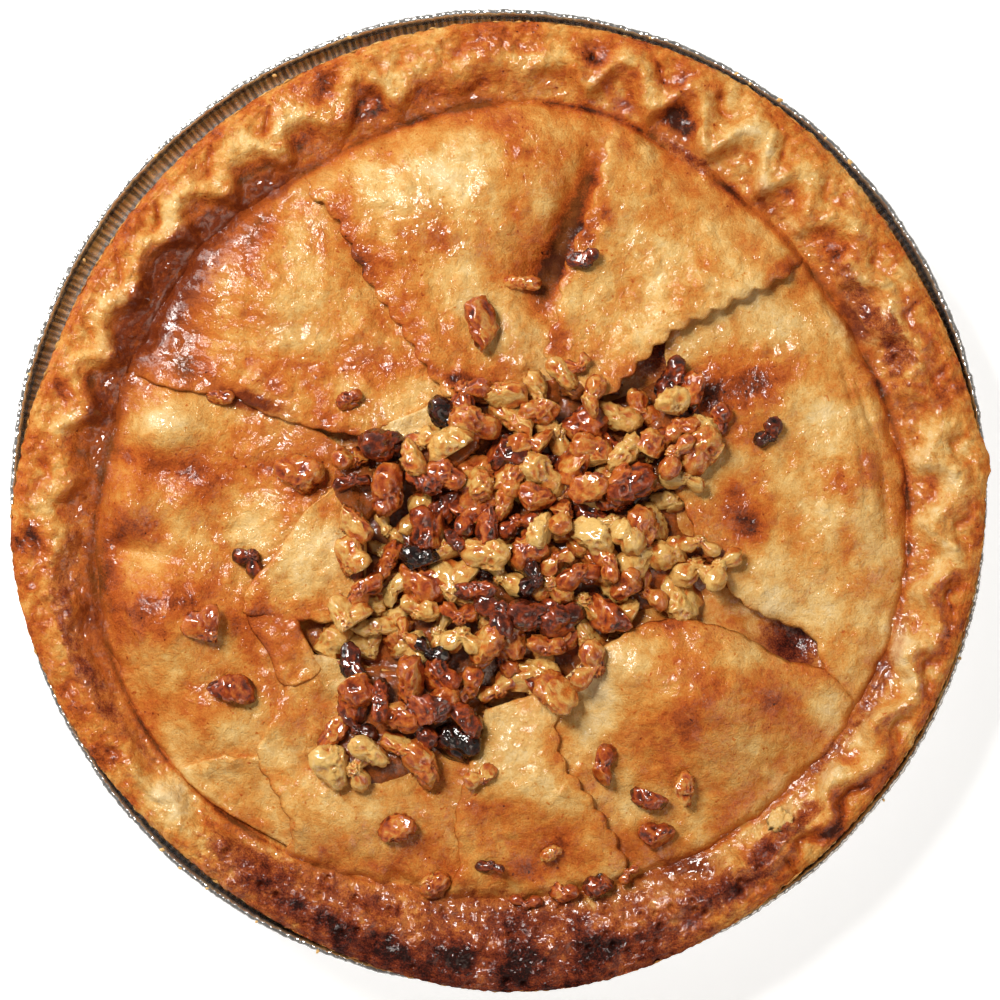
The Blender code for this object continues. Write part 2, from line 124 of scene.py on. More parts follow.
def ripple(x, y, seed=0):  # gradient noise, one bump per unit, about -1 to 1
    i, j = np.floor(x).astype(np.int64), np.floor(y).astype(np.int64)
    fx, fy = x - i, y - j
    sx, sy = fx * fx * fx * (fx * (fx * 6 - 15) + 10), fy * fy * fy * (fy * (fy * 6 - 15) + 10)

    def corner(di, dj):
        turn = hashed(i + di, j + dj, seed) * 2 * math.pi
        return np.cos(turn) * (fx - di) + np.sin(turn) * (fy - dj)

    low = corner(0, 0) * (1 - sx) + corner(1, 0) * sx
    high = corner(0, 1) * (1 - sx) + corner(1, 1) * sx
    return 1.5 * (low * (1 - sy) + high * sy)


def ripples(x, y, size, layers=3, seed=0):  # layered noise whose biggest bumps are size mm apart
    total, strength, norm = 0.0, 1.0, 0.0
    for layer in range(layers):
        total = total + strength * ripple(x / size + 17.3 * layer, y / size - 9.1 * layer, seed + layer)
        norm += strength
        strength, size = strength * 0.5, size * 0.5
    return total / norm


def bubbleField(x, y, size, seed=0):  # gap to the nearest scattered point in shares of size, and its chance
    gx, gy = x / size, y / size
    i, j = np.floor(gx).astype(np.int64), np.floor(gy).astype(np.int64)
    nearest, chance = np.full(np.shape(x), 9.0), np.zeros(np.shape(x))
    for di in (-1, 0, 1):
        for dj in (-1, 0, 1):
            px = i + di + 0.15 + 0.7 * hashed(i + di, j + dj, seed)
            py = j + dj + 0.15 + 0.7 * hashed(i + di, j + dj, seed + 5)
            gap = np.hypot(gx - px, gy - py)
            closer = gap < nearest
            nearest = np.where(closer, gap, nearest)
            chance = np.where(closer, hashed(i + di, j + dj, seed + 11), chance)
    return nearest, chance


def catmull(a, b, c, d, t):
    bend, twist = 2 * a - 5 * b + 4 * c - d, 3 * b - 3 * c + d - a
    return 0.5 * (2 * b + (c - a) * t + bend * t ** 2 + twist * t ** 3)


def ringTable(table):  # smooth value against angle in degrees, once round
    angles = [a for a, _ in table]
    values = [v for _, v in table]
    count = len(table)
    fineAngles, fineValues = [], []
    for k in range(count):
        after = angles[(k + 1) % count] + (360.0 if k == count - 1 else 0.0)
        for step in range(24):
            t = step / 24.0
            fineAngles.append(angles[k] + (after - angles[k]) * t)
            fineValues.append(catmull(*(values[(k + ahead) % count] for ahead in (-1, 0, 1, 2)), t))
    fineAngles = np.append(fineAngles, angles[0] + 360.0)
    fineValues = np.append(fineValues, values[0])
    return lambda degrees: np.interp(np.mod(degrees - angles[0], 360.0) + angles[0], fineAngles, fineValues)


def smoothLine(points, steps=40):  # dense smooth curve through points, and its own length shares
    pts = [np.array(p, float) for p in points]
    pts = [2 * pts[0] - pts[1]] + pts + [2 * pts[-1] - pts[-2]]
    fine = [catmull(*pts[k:k + 4], s / steps) for k in range(len(pts) - 3) for s in range(steps)] + [pts[-2]]
    fine = np.array(fine)
    run = np.concatenate([[0.0], np.cumsum(np.hypot(*np.diff(fine, axis=0).T))])
    return fine, run


def spots(x, y, marks):  # sum of soft oval marks: x, y, half width, half height, turn in degrees, amount
    total = np.zeros(np.shape(x))
    for mx, my, wide, high, turn, amount in marks:
        c, s = math.cos(math.radians(turn)), math.sin(math.radians(turn))
        dx, dy = x - mx, y - my
        total += amount * np.exp(-((dx * c + dy * s) / wide) ** 2 - ((dy * c - dx * s) / high) ** 2)
    return total


def grooves(x, y, lines):  # thin straight dents: x0, y0, x1, y1, width, depth
    total = np.zeros(np.shape(x))
    for x0, y0, x1, y1, width, depth in lines:
        dx, dy = x1 - x0, y1 - y0
        t = clamp01(((x - x0) * dx + (y - y0) * dy) / (dx * dx + dy * dy))
        gap = np.hypot(x - x0 - t * dx, y - y0 - t * dy)
        total += depth * bell(gap, width) * np.sin(np.pi * (0.06 + 0.88 * t))
    return total


pie = dict(
    edge=[
        (0, 121.6), (30, 119), (55, 120.6), (90, 120), (110, 118.2), (140, 117.2), (160, 117.7),
        (174, 120.6), (186, 123.1), (205, 121.6), (225, 119.4), (240, 119.5), (255, 121), (268, 123),
        (280, 123.3), (295, 121.6), (310, 120), (330, 120.2), (345, 120.8)],
    crease=[
        (0, 103), (20, 99.5), (40, 97.5), (60, 98), (75, 101), (90, 100.5), (105, 98), (120, 96.5),
        (140, 98.5), (160, 98.5), (175, 100.5), (190, 104.5), (215, 106.5), (235, 104.5), (255, 101.5),
        (280, 101.5), (300, 102.5), (320, 104), (345, 104.5)],
    fluteDepth=[
        (0, 0.8), (30, 0.75), (50, 1), (75, 1), (88, 0.45), (98, 0.5), (112, 0.8), (140, 0.75), (165, 0.8),
        (180, 0.5), (205, 0.45), (230, 0.35), (245, 0.12), (290, 0.15), (301, 0.7), (320, 0.95), (350, 0.9)],
    lip=(4.6, 2.6, 1.9), lidEdge=37.7, dome=7, lidRadius=102, creaseHeight=38)

swellings = [
    (-4, 82, 26, 26, 0, 3.8), (-22, 74, 14, 9, -35, 1.6), (44, 66, 20, 16, -40, 3.4), (88, 8, 12, 26, 6, 3),
    (66, 24, 14, 10, 20, 1.8), (48, -50, 21, 16, -14, 9), (30, -40, 9, 8, 0, 2.6), (6, -72, 15, 13, 0, 3),
    (-34, -76, 18, 12, 0, 3), (-84, 18, 10, 8, 0, 6.2), (-94, -1, 10, 8, 0, 6), (-76, 2, 8, 8, 0, 2.2),
    (-84, -30, 14, 17, 8, 7.2), (-70, -55, 14, 10, 0, 3.4), (-62, 52, 22, 18, 0, 3.4),
    (-80, 46, 7, 12, 20, -1.4), (-97, 11, 7, 2.6, 35, -1.6), (-92, -13, 11, 3, -12, -2.6),
    (8, 60, 10, 10, 0, -2), (72, -34, 8, 7, 0, -3.4), (5, 42, 5, 5, 0, 1.6), (7, 34, 5, 4, 0, 1),
    (-30, 52, 4, 14, 32, -1.6), (-46, -14, 10, 12, 0, 2), (-58, -92, 14, 5, -28, -1.2)]

edgeAt = ringTable(pie["edge"])
creaseAt = ringTable(pie["crease"])
fluteDepthAt = ringTable(pie["fluteDepth"])


def turnedAway(degrees, angle):  # signed turn from an angle, -180 to 180
    return np.mod(degrees - angle + 180.0, 360.0) - 180.0


def outerEdge(degrees):
    angle, reach, height = pie["lip"]
    return edgeAt(degrees) + height * bell(turnedAway(degrees, angle), reach)


def lidTop(x, y):
    fromMiddle = np.hypot(x, y)
    share = np.minimum(1.0, fromMiddle / pie["lidRadius"])
    height = pie["lidEdge"] + pie["dome"] * (1.0 - share ** 2) ** 0.8
    puffed = 1.0 - easeStep(0.89, 1.0, fromMiddle / creaseAt(np.degrees(np.arctan2(y, x))))
    return height + puffed * spots(x, y, swellings)


def finishMesh(name, mesh, material, node=None, attributes=None):
    for key, values in (attributes or {}).items():
        layer = mesh.attributes.new(key, "FLOAT", "POINT")
        layer.data.foreach_set("value", np.asarray(values, np.float32))
    mesh.materials.append(material)
    mesh.shade_smooth()
    piece = bpy.data.objects.new(name, mesh)
    bpy.context.scene.collection.objects.link(piece)
    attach(piece, "root")
    if node:
        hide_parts(node)
    return piece


def meshFrom(bm, name):
    mesh = bpy.data.meshes.new(name)
    bm.to_mesh(mesh)
    bm.free()
    return mesh


def thicken(piece, thick):  # gives a sheet its thickness downwards
    sheet = piece.modifiers.new("Thickness", "SOLIDIFY")
    sheet.thickness = thick * mm
    sheet.offset = -1.0


def readPoints(mesh):
    flat = np.empty(len(mesh.vertices) * 3)
    mesh.vertices.foreach_get("co", flat)
    return flat.reshape(-1, 3)


def writePoints(mesh, points):
    mesh.vertices.foreach_set("co", np.asarray(points, np.float32).ravel())
    mesh.update()


def newTree(name, inputs, outputs):
    group = bpy.data.node_groups.new(name, "ShaderNodeTree")
    for key, value in inputs.items():
        group.interface.new_socket(key, in_out="INPUT", socket_type="NodeSocketFloat").default_value = value
    for key, kind in outputs.items():
        group.interface.new_socket(key, in_out="OUTPUT", socket_type=kind)
    return group, group.nodes.new("NodeGroupInput"), group.nodes.new("NodeGroupOutput")


def objectCoords(tree):
    return tree.nodes.new("ShaderNodeTexCoord").outputs["Object"]


def noiseNode(tree, coords, scale, detail=3.0, rough=0.55, distort=0.0):
    node = tree.nodes.new("ShaderNodeTexNoise")
    node.inputs["Scale"].default_value = scale
    node.inputs["Detail"].default_value = detail
    node.inputs["Roughness"].default_value = rough
    node.inputs["Distortion"].default_value = distort
    tree.links.new(coords, node.inputs["Vector"])
    return node.outputs["Fac"]


def mathNode(tree, kind, a, b, clamp=False):
    node = tree.nodes.new("ShaderNodeMath")
    node.operation = kind
    node.use_clamp = clamp
    for slot, value in enumerate((a, b)):
        if isinstance(value, (int, float)):
            node.inputs[slot].default_value = value
        else:
            tree.links.new(value, node.inputs[slot])
    return node.outputs[0]


def plus(tree, a, b, clamp=False):
    return mathNode(tree, "ADD", a, b, clamp)


def times(tree, a, b, clamp=False):
    return mathNode(tree, "MULTIPLY", a, b, clamp)


def centred(tree, value, amount):  # a noise moved to swing round zero
    return times(tree, mathNode(tree, "SUBTRACT", value, 0.5), amount)


def rampNode(tree, fac, stops):
    node = tree.nodes.new("ShaderNodeValToRGB")
    band = node.color_ramp.elements
    while len(band) < len(stops):
        band.new(0.5)
    for element, (place, colour) in zip(band, stops):
        element.position = place
        element.color = (*colour, 1.0)
    tree.links.new(fac, node.inputs["Fac"])
    return node.outputs["Color"]


def mixNode(tree, fac, a, b, blend="MIX"):
    node = tree.nodes.new("ShaderNodeMix")
    node.data_type = "RGBA"
    node.blend_type = blend
    for key, value in (("Factor", fac), ("A", a), ("B", b)):
        socket = next(s for s in node.inputs if s.name == key and s.enabled)
        if isinstance(value, (int, float)):
            socket.default_value = value
        else:
            tree.links.new(value, socket)
    return next(s for s in node.outputs if s.enabled)


def mapNode(tree, value, low, high, toLow=0.0, toHigh=1.0):
    node = tree.nodes.new("ShaderNodeMapRange")
    node.inputs["From Min"].default_value = low
    node.inputs["From Max"].default_value = high
    node.inputs["To Min"].default_value = toLow
    node.inputs["To Max"].default_value = toHigh
    tree.links.new(value, node.inputs["Value"])
    return node.outputs["Result"]


def shade(r, g, b):  # a colour given as seen on a screen, 0 to 255
    def part(c):
        c /= 255.0
        return c / 12.92 if c <= 0.04045 else ((c + 0.055) / 1.055) ** 2.4
    return part(r), part(g), part(b)


def shadeStops(*rows):  # a colour ramp: each row has its place and a colour
    return [(place, shade(*colour)) for place, *colour in rows]


bakeStops = shadeStops(
    (0.0, 240, 210, 156), (0.2, 230, 187, 116), (0.38, 216, 153, 76), (0.54, 204, 121, 48),
    (0.70, 184, 88, 31), (0.85, 140, 60, 21), (1.0, 66, 26, 12))
syrupStops = shadeStops((0.0, 208, 130, 52), (0.5, 172, 84, 28), (1.0, 114, 45, 14))
charStops = shadeStops(
    (0.0, 208, 130, 62), (0.3, 176, 94, 42), (0.52, 138, 60, 30), (0.78, 92, 33, 20), (1.0, 38, 13, 9))
# noises of the pastry: fineness, detail, roughness and distortion
grains = dict(
    broad=(150.0, 4.0, 0.6, 0.6), spotty=(520.0, 4.0, 0.65, 0.3), fine=(2200.0, 3.0, 0.6),
    speck=(800.0, 1.0, 0.5), pooled=(340.0, 2.0, 0.5, 0.2))


def bakedCrustGroup():  # browning, syrup stain, burnt sugar and flaky grain shared by all pastry
    group, given, put = newTree(
        "bakedCrust", {"Bake": 0.4, "Syrup": 0.0, "Shine": 0.5, "Char": 0.0, "Mottle": 0.9, "Grain": 1.0},
        {"Color": "NodeSocketColor", "Roughness": "NodeSocketFloat", "Coat": "NodeSocketFloat",
         "Height": "NodeSocketFloat"})
    coords = objectCoords(group)
    broad, spotty, fine, speck = (
        noiseNode(group, coords, *grains[key]) for key in ("broad", "spotty", "fine", "speck"))

    wander = plus(group, centred(group, broad, 0.75), centred(group, spotty, 0.75))
    wander = times(group, wander, given.outputs["Mottle"])
    bake = plus(group, plus(group, given.outputs["Bake"], wander), centred(group, fine, 0.4))
    bake = plus(group, bake, mapNode(group, speck, 0.70, 0.78, 0.0, 0.25), True)
    syrup = times(group, given.outputs["Syrup"], plus(group, centred(group, spotty, 1.6), 1.0), True)
    sticky = rampNode(group, plus(group, syrup, centred(group, fine, 0.4), True), syrupStops)
    colour = mixNode(group, mapNode(group, syrup, 0.06, 0.7), rampNode(group, bake, bakeStops), sticky)
    charred = plus(group, given.outputs["Char"], centred(group, spotty, 0.9))
    charred = plus(group, charred, centred(group, fine, 1.1), True)
    cover = mapNode(group, plus(group, given.outputs["Char"], centred(group, spotty, 0.5)), 0.1, 0.32)
    group.links.new(mixNode(group, cover, colour, rampNode(group, charred, charStops)), put.inputs["Color"])
    wet = plus(group, given.outputs["Shine"], times(group, given.outputs["Syrup"], 0.8), True)
    patchy = times(group, wet, mapNode(group, broad, 0.38, 0.58, 0.2, 1.0), True)
    patchy = times(group, patchy, mapNode(group, given.outputs["Char"], 0.3, 0.9, 1.0, 0.4))
    group.links.new(patchy, put.inputs["Coat"])
    group.links.new(mapNode(group, patchy, 0.0, 1.0, 0.7, 0.42), put.inputs["Roughness"])
    relief = plus(group, times(group, spotty, 0.9), times(group, fine, 0.3))
    group.links.new(times(group, relief, given.outputs["Grain"]), put.inputs["Height"])
    return group


def attributeNode(tree, name):
    node = tree.nodes.new("ShaderNodeAttribute")
    node.attribute_name = name
    return node.outputs["Fac"]


def newMaterial(name, roughness=0.5, metallic=0.0, coatRoughness=0.15, specular=0.5, coatIor=1.5):
    material = bpy.data.materials.new(name)
    material.use_nodes = True
    shader = material.node_tree.nodes["Principled BSDF"]
    shader.inputs["Roughness"].default_value = roughness
    shader.inputs["Metallic"].default_value = metallic
    shader.inputs["Coat Roughness"].default_value = coatRoughness
    shader.inputs["Specular IOR Level"].default_value = specular
    shader.inputs["Coat IOR"].default_value = coatIor
    return material, material.node_tree, shader


def bumpNode(tree, height, distance, strength=1.0):
    node = tree.nodes.new("ShaderNodeBump")
    node.inputs["Distance"].default_value = distance
    node.inputs["Strength"].default_value = strength
    tree.links.new(height, node.inputs["Height"])
    return node.outputs["Normal"]


def crustMaterial(name, mottle=0.9, grain=1.0, bump=0.8 * mm, coatRoughness=0.1):
    material, tree, shader = newMaterial(name, coatRoughness=coatRoughness, specular=0.08, coatIor=1.7)
    group = tree.nodes.new("ShaderNodeGroup")
    group.node_tree = bpy.data.node_groups.get("bakedCrust") or bakedCrustGroup()
    group.inputs["Mottle"].default_value = mottle
    group.inputs["Grain"].default_value = grain
    for key, attribute in (("Bake", "bake"), ("Syrup", "syrup"), ("Shine", "shine"), ("Char", "char")):
        tree.links.new(attributeNode(tree, attribute), group.inputs[key])
    tree.links.new(group.outputs["Color"], shader.inputs["Base Color"])
    tree.links.new(group.outputs["Roughness"], shader.inputs["Roughness"])
    tree.links.new(group.outputs["Coat"], shader.inputs["Coat Weight"])
    tree.links.new(bumpNode(tree, group.outputs["Height"], bump), shader.inputs["Normal"])
    coords = objectCoords(tree)
    pooled, spotty = (noiseNode(tree, coords, *grains[key]) for key in ("pooled", "spotty"))
    waves = plus(tree, pooled, times(tree, spotty, 0.3))
    level = mapNode(tree, attributeNode(tree, "syrup"), 0.2, 0.9, 1.0, 0.45)  # deep syrup lies smoother
    glaze = times(tree, waves, level)
    tree.links.new(bumpNode(tree, glaze, 1.1 * bump), shader.inputs["Coat Normal"])
    return material


paper = dict(half=1.5, below=0.5, dark=0.80, light=0.84, glow=0.63)


def paperMaterial():
    material, tree, shader = newMaterial("palePaper", roughness=0.9)
    fibre = noiseNode(tree, objectCoords(tree), 900.0, 2.0)
    tree.links.new(rampNode(tree, fibre, [(0.0, (paper["dark"],) * 3), (1.0, (paper["light"],) * 3)]),
                   shader.inputs["Base Color"])
    shader.inputs["Emission Color"].default_value = (1.0, 1.0, 1.0, 1.0)
    shader.inputs["Emission Strength"].default_value = paper["glow"]
    return material


foilLook = dict(crinkle=(700.0, 3.0, 0.55, 0.4), stain=(60.0, 3.0, 0.6), dull=(0.54, 0.53, 0.52),
                clean=(0.72, 0.72, 0.72), lit=1.35, shaded=0.5, relief=0.07 * mm)


def foilMaterial():
    material, tree, shader = newMaterial("crinkledFoil", metallic=0.9)
    coords = objectCoords(tree)
    crinkle = noiseNode(tree, coords, *foilLook["crinkle"])
    stain = noiseNode(tree, coords, *foilLook["stain"])
    colour = rampNode(tree, stain, [(0.3, foilLook["dull"]), (0.7, foilLook["clean"])])
    # painted light and shade on the foil: pleat ridges brightened above the plain colour, pleat valleys
    # darkened
    bright = mapNode(tree, attributeNode(tree, "furrowShade"), -0.4, 0.9, foilLook["lit"], foilLook["shaded"])
    tree.links.new(mixNode(tree, 1.0, colour, bright, "MULTIPLY"), shader.inputs["Base Color"])
    tree.links.new(mapNode(tree, crinkle, 0.3, 0.7, 0.16, 0.30), shader.inputs["Roughness"])
    tree.links.new(bumpNode(tree, crinkle, foilLook["relief"]), shader.inputs["Normal"])
    return material


nutStops = shadeStops(
    (0.0, 230, 188, 110), (0.2, 212, 154, 76), (0.38, 196, 104, 38), (0.56, 160, 64, 23), (0.74, 92, 34, 16),
    (1.0, 22, 11, 9))
nutLook = dict(skin=(380.0, 4.0, 0.62, 0.6), fine=(1700.0, 3.0, 0.6), glaze=(300.0, 1.0, 0.4, 0.3),
               mottle=0.6, speckle=0.3, relief=0.7 * mm, glazeRelief=1.0 * mm)


def walnutMaterial():
    material, tree, shader = newMaterial("candiedWalnut", coatRoughness=0.06, specular=0.08, coatIor=1.9)
    coords = objectCoords(tree)
    skin, fine, glaze = (noiseNode(tree, coords, *nutLook[key]) for key in ("skin", "fine", "glaze"))
    tone = plus(tree, attributeNode(tree, "tone"), centred(tree, skin, nutLook["mottle"]))
    tone = plus(tree, tone, centred(tree, fine, nutLook["speckle"]), True)
    tree.links.new(rampNode(tree, tone, nutStops), shader.inputs["Base Color"])
    tree.links.new(mapNode(tree, skin, 0.3, 0.7, 0.55, 0.35), shader.inputs["Roughness"])
    tree.links.new(mapNode(tree, glaze, 0.36, 0.56, 0.35, 1.0), shader.inputs["Coat Weight"])
    rough = plus(tree, skin, times(tree, fine, 0.3))
    tree.links.new(bumpNode(tree, rough, nutLook["relief"]), shader.inputs["Normal"])
    tree.links.new(bumpNode(tree, glaze, nutLook["glazeRelief"]), shader.inputs["Coat Normal"])
    return material


foilTin = dict(
    centre=(-0.3, 0.56), bead=(122.15, 35.55, 0.85), base=93.0, wall=112.6, ledge=(120.3, 31.4), thin=0.3,
    floor=0.4, turnUp=2.6, steps=2480, ledgePleats=400, pleatRise=0.34, pleatVary=0.2, wallPleats=150,
    wallPleatDepth=0.5, kink=0.2, kinkRise=0.24, bow=0.35, baseWave=0.06)


def rolledRings(name, rows, steps, poles=()):  # a grid rolled round, with each point's row and angle
    bm = bmesh.new()
    bmesh.ops.create_grid(bm, x_segments=steps, y_segments=rows - 1, size=0.5)
    for vert in bm.verts:
        row, turn = round((vert.co.y + 0.5) * (rows - 1)), 2 * math.pi * (vert.co.x + 0.5)
        reach = 0.0 if row in poles else 1.0
        vert.co = (reach * math.cos(turn), reach * math.sin(turn), row)
    bmesh.ops.remove_doubles(bm, verts=bm.verts, dist=0.00001)
    mesh = meshFrom(bm, name)
    points = readPoints(mesh)
    return mesh, np.rint(points[:, 2]).astype(int), np.degrees(np.arctan2(points[:, 1], points[:, 0]))


def faceOutward(mesh):
    bm = bmesh.new()
    bm.from_mesh(mesh)
    bmesh.ops.recalc_face_normals(bm, faces=bm.faces)
    bm.to_mesh(mesh)
    bm.free()


def faceUp(mesh):
    bm = bmesh.new()
    bm.from_mesh(mesh)
    bm.normal_update()
    if sum(face.normal.z for face in bm.faces) < 0:
        bmesh.ops.reverse_faces(bm, faces=bm.faces)
    bm.to_mesh(mesh)
    bm.free()


def makeTin(material):
    beadR, beadZ, bead = foilTin["bead"]
    ledgeR, ledgeZ = foilTin["ledge"]
    base, wallR, thin = foilTin["base"], foilTin["wall"], foilTin["thin"]
    floor, turnUp = foilTin["floor"], foilTin["turnUp"]
    inner = [(r, floor) for r in (0.0, 40.0, 80.0, base - 3.4)] + [(base - 1.2, 1.1), (base - 0.2, turnUp)]
    for t in (0.3, 0.65, 1.0):
        inner.append((base - 0.2 + (wallR - 0.6 - base + 0.2) * t, turnUp + (ledgeZ - 3.2) * t))
    for t in (0.0, 0.3, 0.65, 1.0):
        inner.append((wallR + 0.3 + (ledgeR - wallR - 0.3) * t, ledgeZ - 0.8 * (1 - t)))
    inner += [(ledgeR + 0.3, ledgeZ + 0.7), (ledgeR + 0.7, ledgeZ + 2.2), (beadR - bead - 0.1, beadZ - 0.5)]
    roll = [(beadR + bead * math.cos(a), beadZ + bead * math.sin(a)) for a in
            (math.radians(t) for t in (165, 135, 105, 75, 45, 15, -15, -45, -80))]
    outer = [(r + 0.55 * thin, z - thin) for r, z in reversed(inner[5:-1])]
    outer += [(base + 0.1, 1.0), (base - 1.8, 0.0), (80.0, 0.0), (40.0, 0.0)]
    profile = inner + roll + outer + [(0.0, 0.0)]
    mesh, ring, degrees = rolledRings("foilTin", len(profile), foilTin["steps"], (0, len(profile) - 1))
    r = np.array([p[0] for p in profile])[ring]
    z = np.array([p[1] for p in profile])[ring]
    angle = np.radians(degrees)
    onLedge = easeStep(wallR - 0.4, wallR + 1.5, r) * (1 - easeStep(ledgeR - 0.1, ledgeR + 0.6, r))
    onLedge = onLedge * (z > ledgeZ - 1.5)
    onWall = easeStep(3.5, 7.0, z) * (1 - easeStep(ledgeZ - 3.0, ledgeZ - 0.5, z)) * (r < wallR + 1)
    onBead = (z > beadZ - bead - 0.4) * (r > ledgeR + 0.4)
    onBase = (z < 0.9) * (r < base - 4)
    pleat = np.sin(angle * foilTin["ledgePleats"] + 2.2 * ripple(degrees / 1.9, 0 * degrees, 3))
    rise = foilTin["pleatRise"] + foilTin["pleatVary"] * ripple(degrees / 2.1, 0 * degrees, 4)
    z = z + rise * pleat * onLedge
    wallPleat = np.sin(angle * foilTin["wallPleats"] + 0.8 * ripple(degrees / 6.0, 0 * degrees, 5))
    r = r + foilTin["wallPleatDepth"] * onWall * wallPleat
    kink = ripple(degrees / 0.62, z * 0.6, 8) + 0.6 * ripple(degrees / 0.4, z * 0.9, 9)
    r = r + onBead * (foilTin["kink"] * kink - 0.2)
    z = z + onBead * foilTin["kinkRise"] * ripple(degrees / 0.5, r * 0.8, 10) - 0.2 * onBead
    r = r + onBead * foilTin["bow"] * ripple(degrees / 9.0, 0 * degrees, 12) - 0.2 * onBead
    z = z + onBase * (z > 0.2) * foilTin["baseWave"] * ripple(r / 9.0, degrees / 20.0, 14)
    cx, cy = foilTin["centre"]
    writePoints(mesh, np.stack([cx + r * np.cos(angle), cy + r * np.sin(angle), z], 1) * mm)
    faceOutward(mesh)
    # painted shade in the pleat valleys of the ledge and wall and painted light on the ledge ridges, kept for
    # the foil's colour
    valleyShade = clamp01(0.1 - pleat + 0.9 * ripple(degrees / 0.9, r * 0.5, 15))
    furrowShade = (1.4 * valleyShade - 0.4) * onLedge + 0.7 * clamp01(-wallPleat) * onWall
    finishMesh("foilTinPleated", mesh, material, "foil_tin", dict(furrowShade=furrowShade))
    print("foil tin pleated and rolled")


crimp = dict(pitch=9.0, first=68.7, centre=0.42, swing=0.20, floor=1.2, rise=3.0, ridge=1.4, ridgeWidth=0.19,
             fold=1.7, foldFrom=0.56, foldSlope=7.2, foldWidth=0.55, layers=(0.86, 0.92, 0.965), steps=1280)
# how strongly each lobe's outer fold leans to larger and to smaller angles
foldUp = ringTable([
    (0, 0.9), (60, 1), (85, 0.5), (110, 0.2), (150, 0.1), (190, 0.4), (240, 0.3), (300, 0.9), (345, 0.9)])
foldDown = ringTable([
    (0, 0.3), (40, 0.1), (85, 0.2), (112, 0.8), (150, 1), (190, 0.7), (240, 0.3), (300, 0.9), (345, 0.8)])

# painted light and shade: the inner face of the rim is painted browner at the back, where it faces away from
# the light, and paler at the front, where it faces it
wallLightShade = ringTable([
    (0, -0.04), (60, 0), (90, 0.06), (125, 0.14), (170, 0.14), (210, 0.04), (300, -0.08), (345, -0.1)])

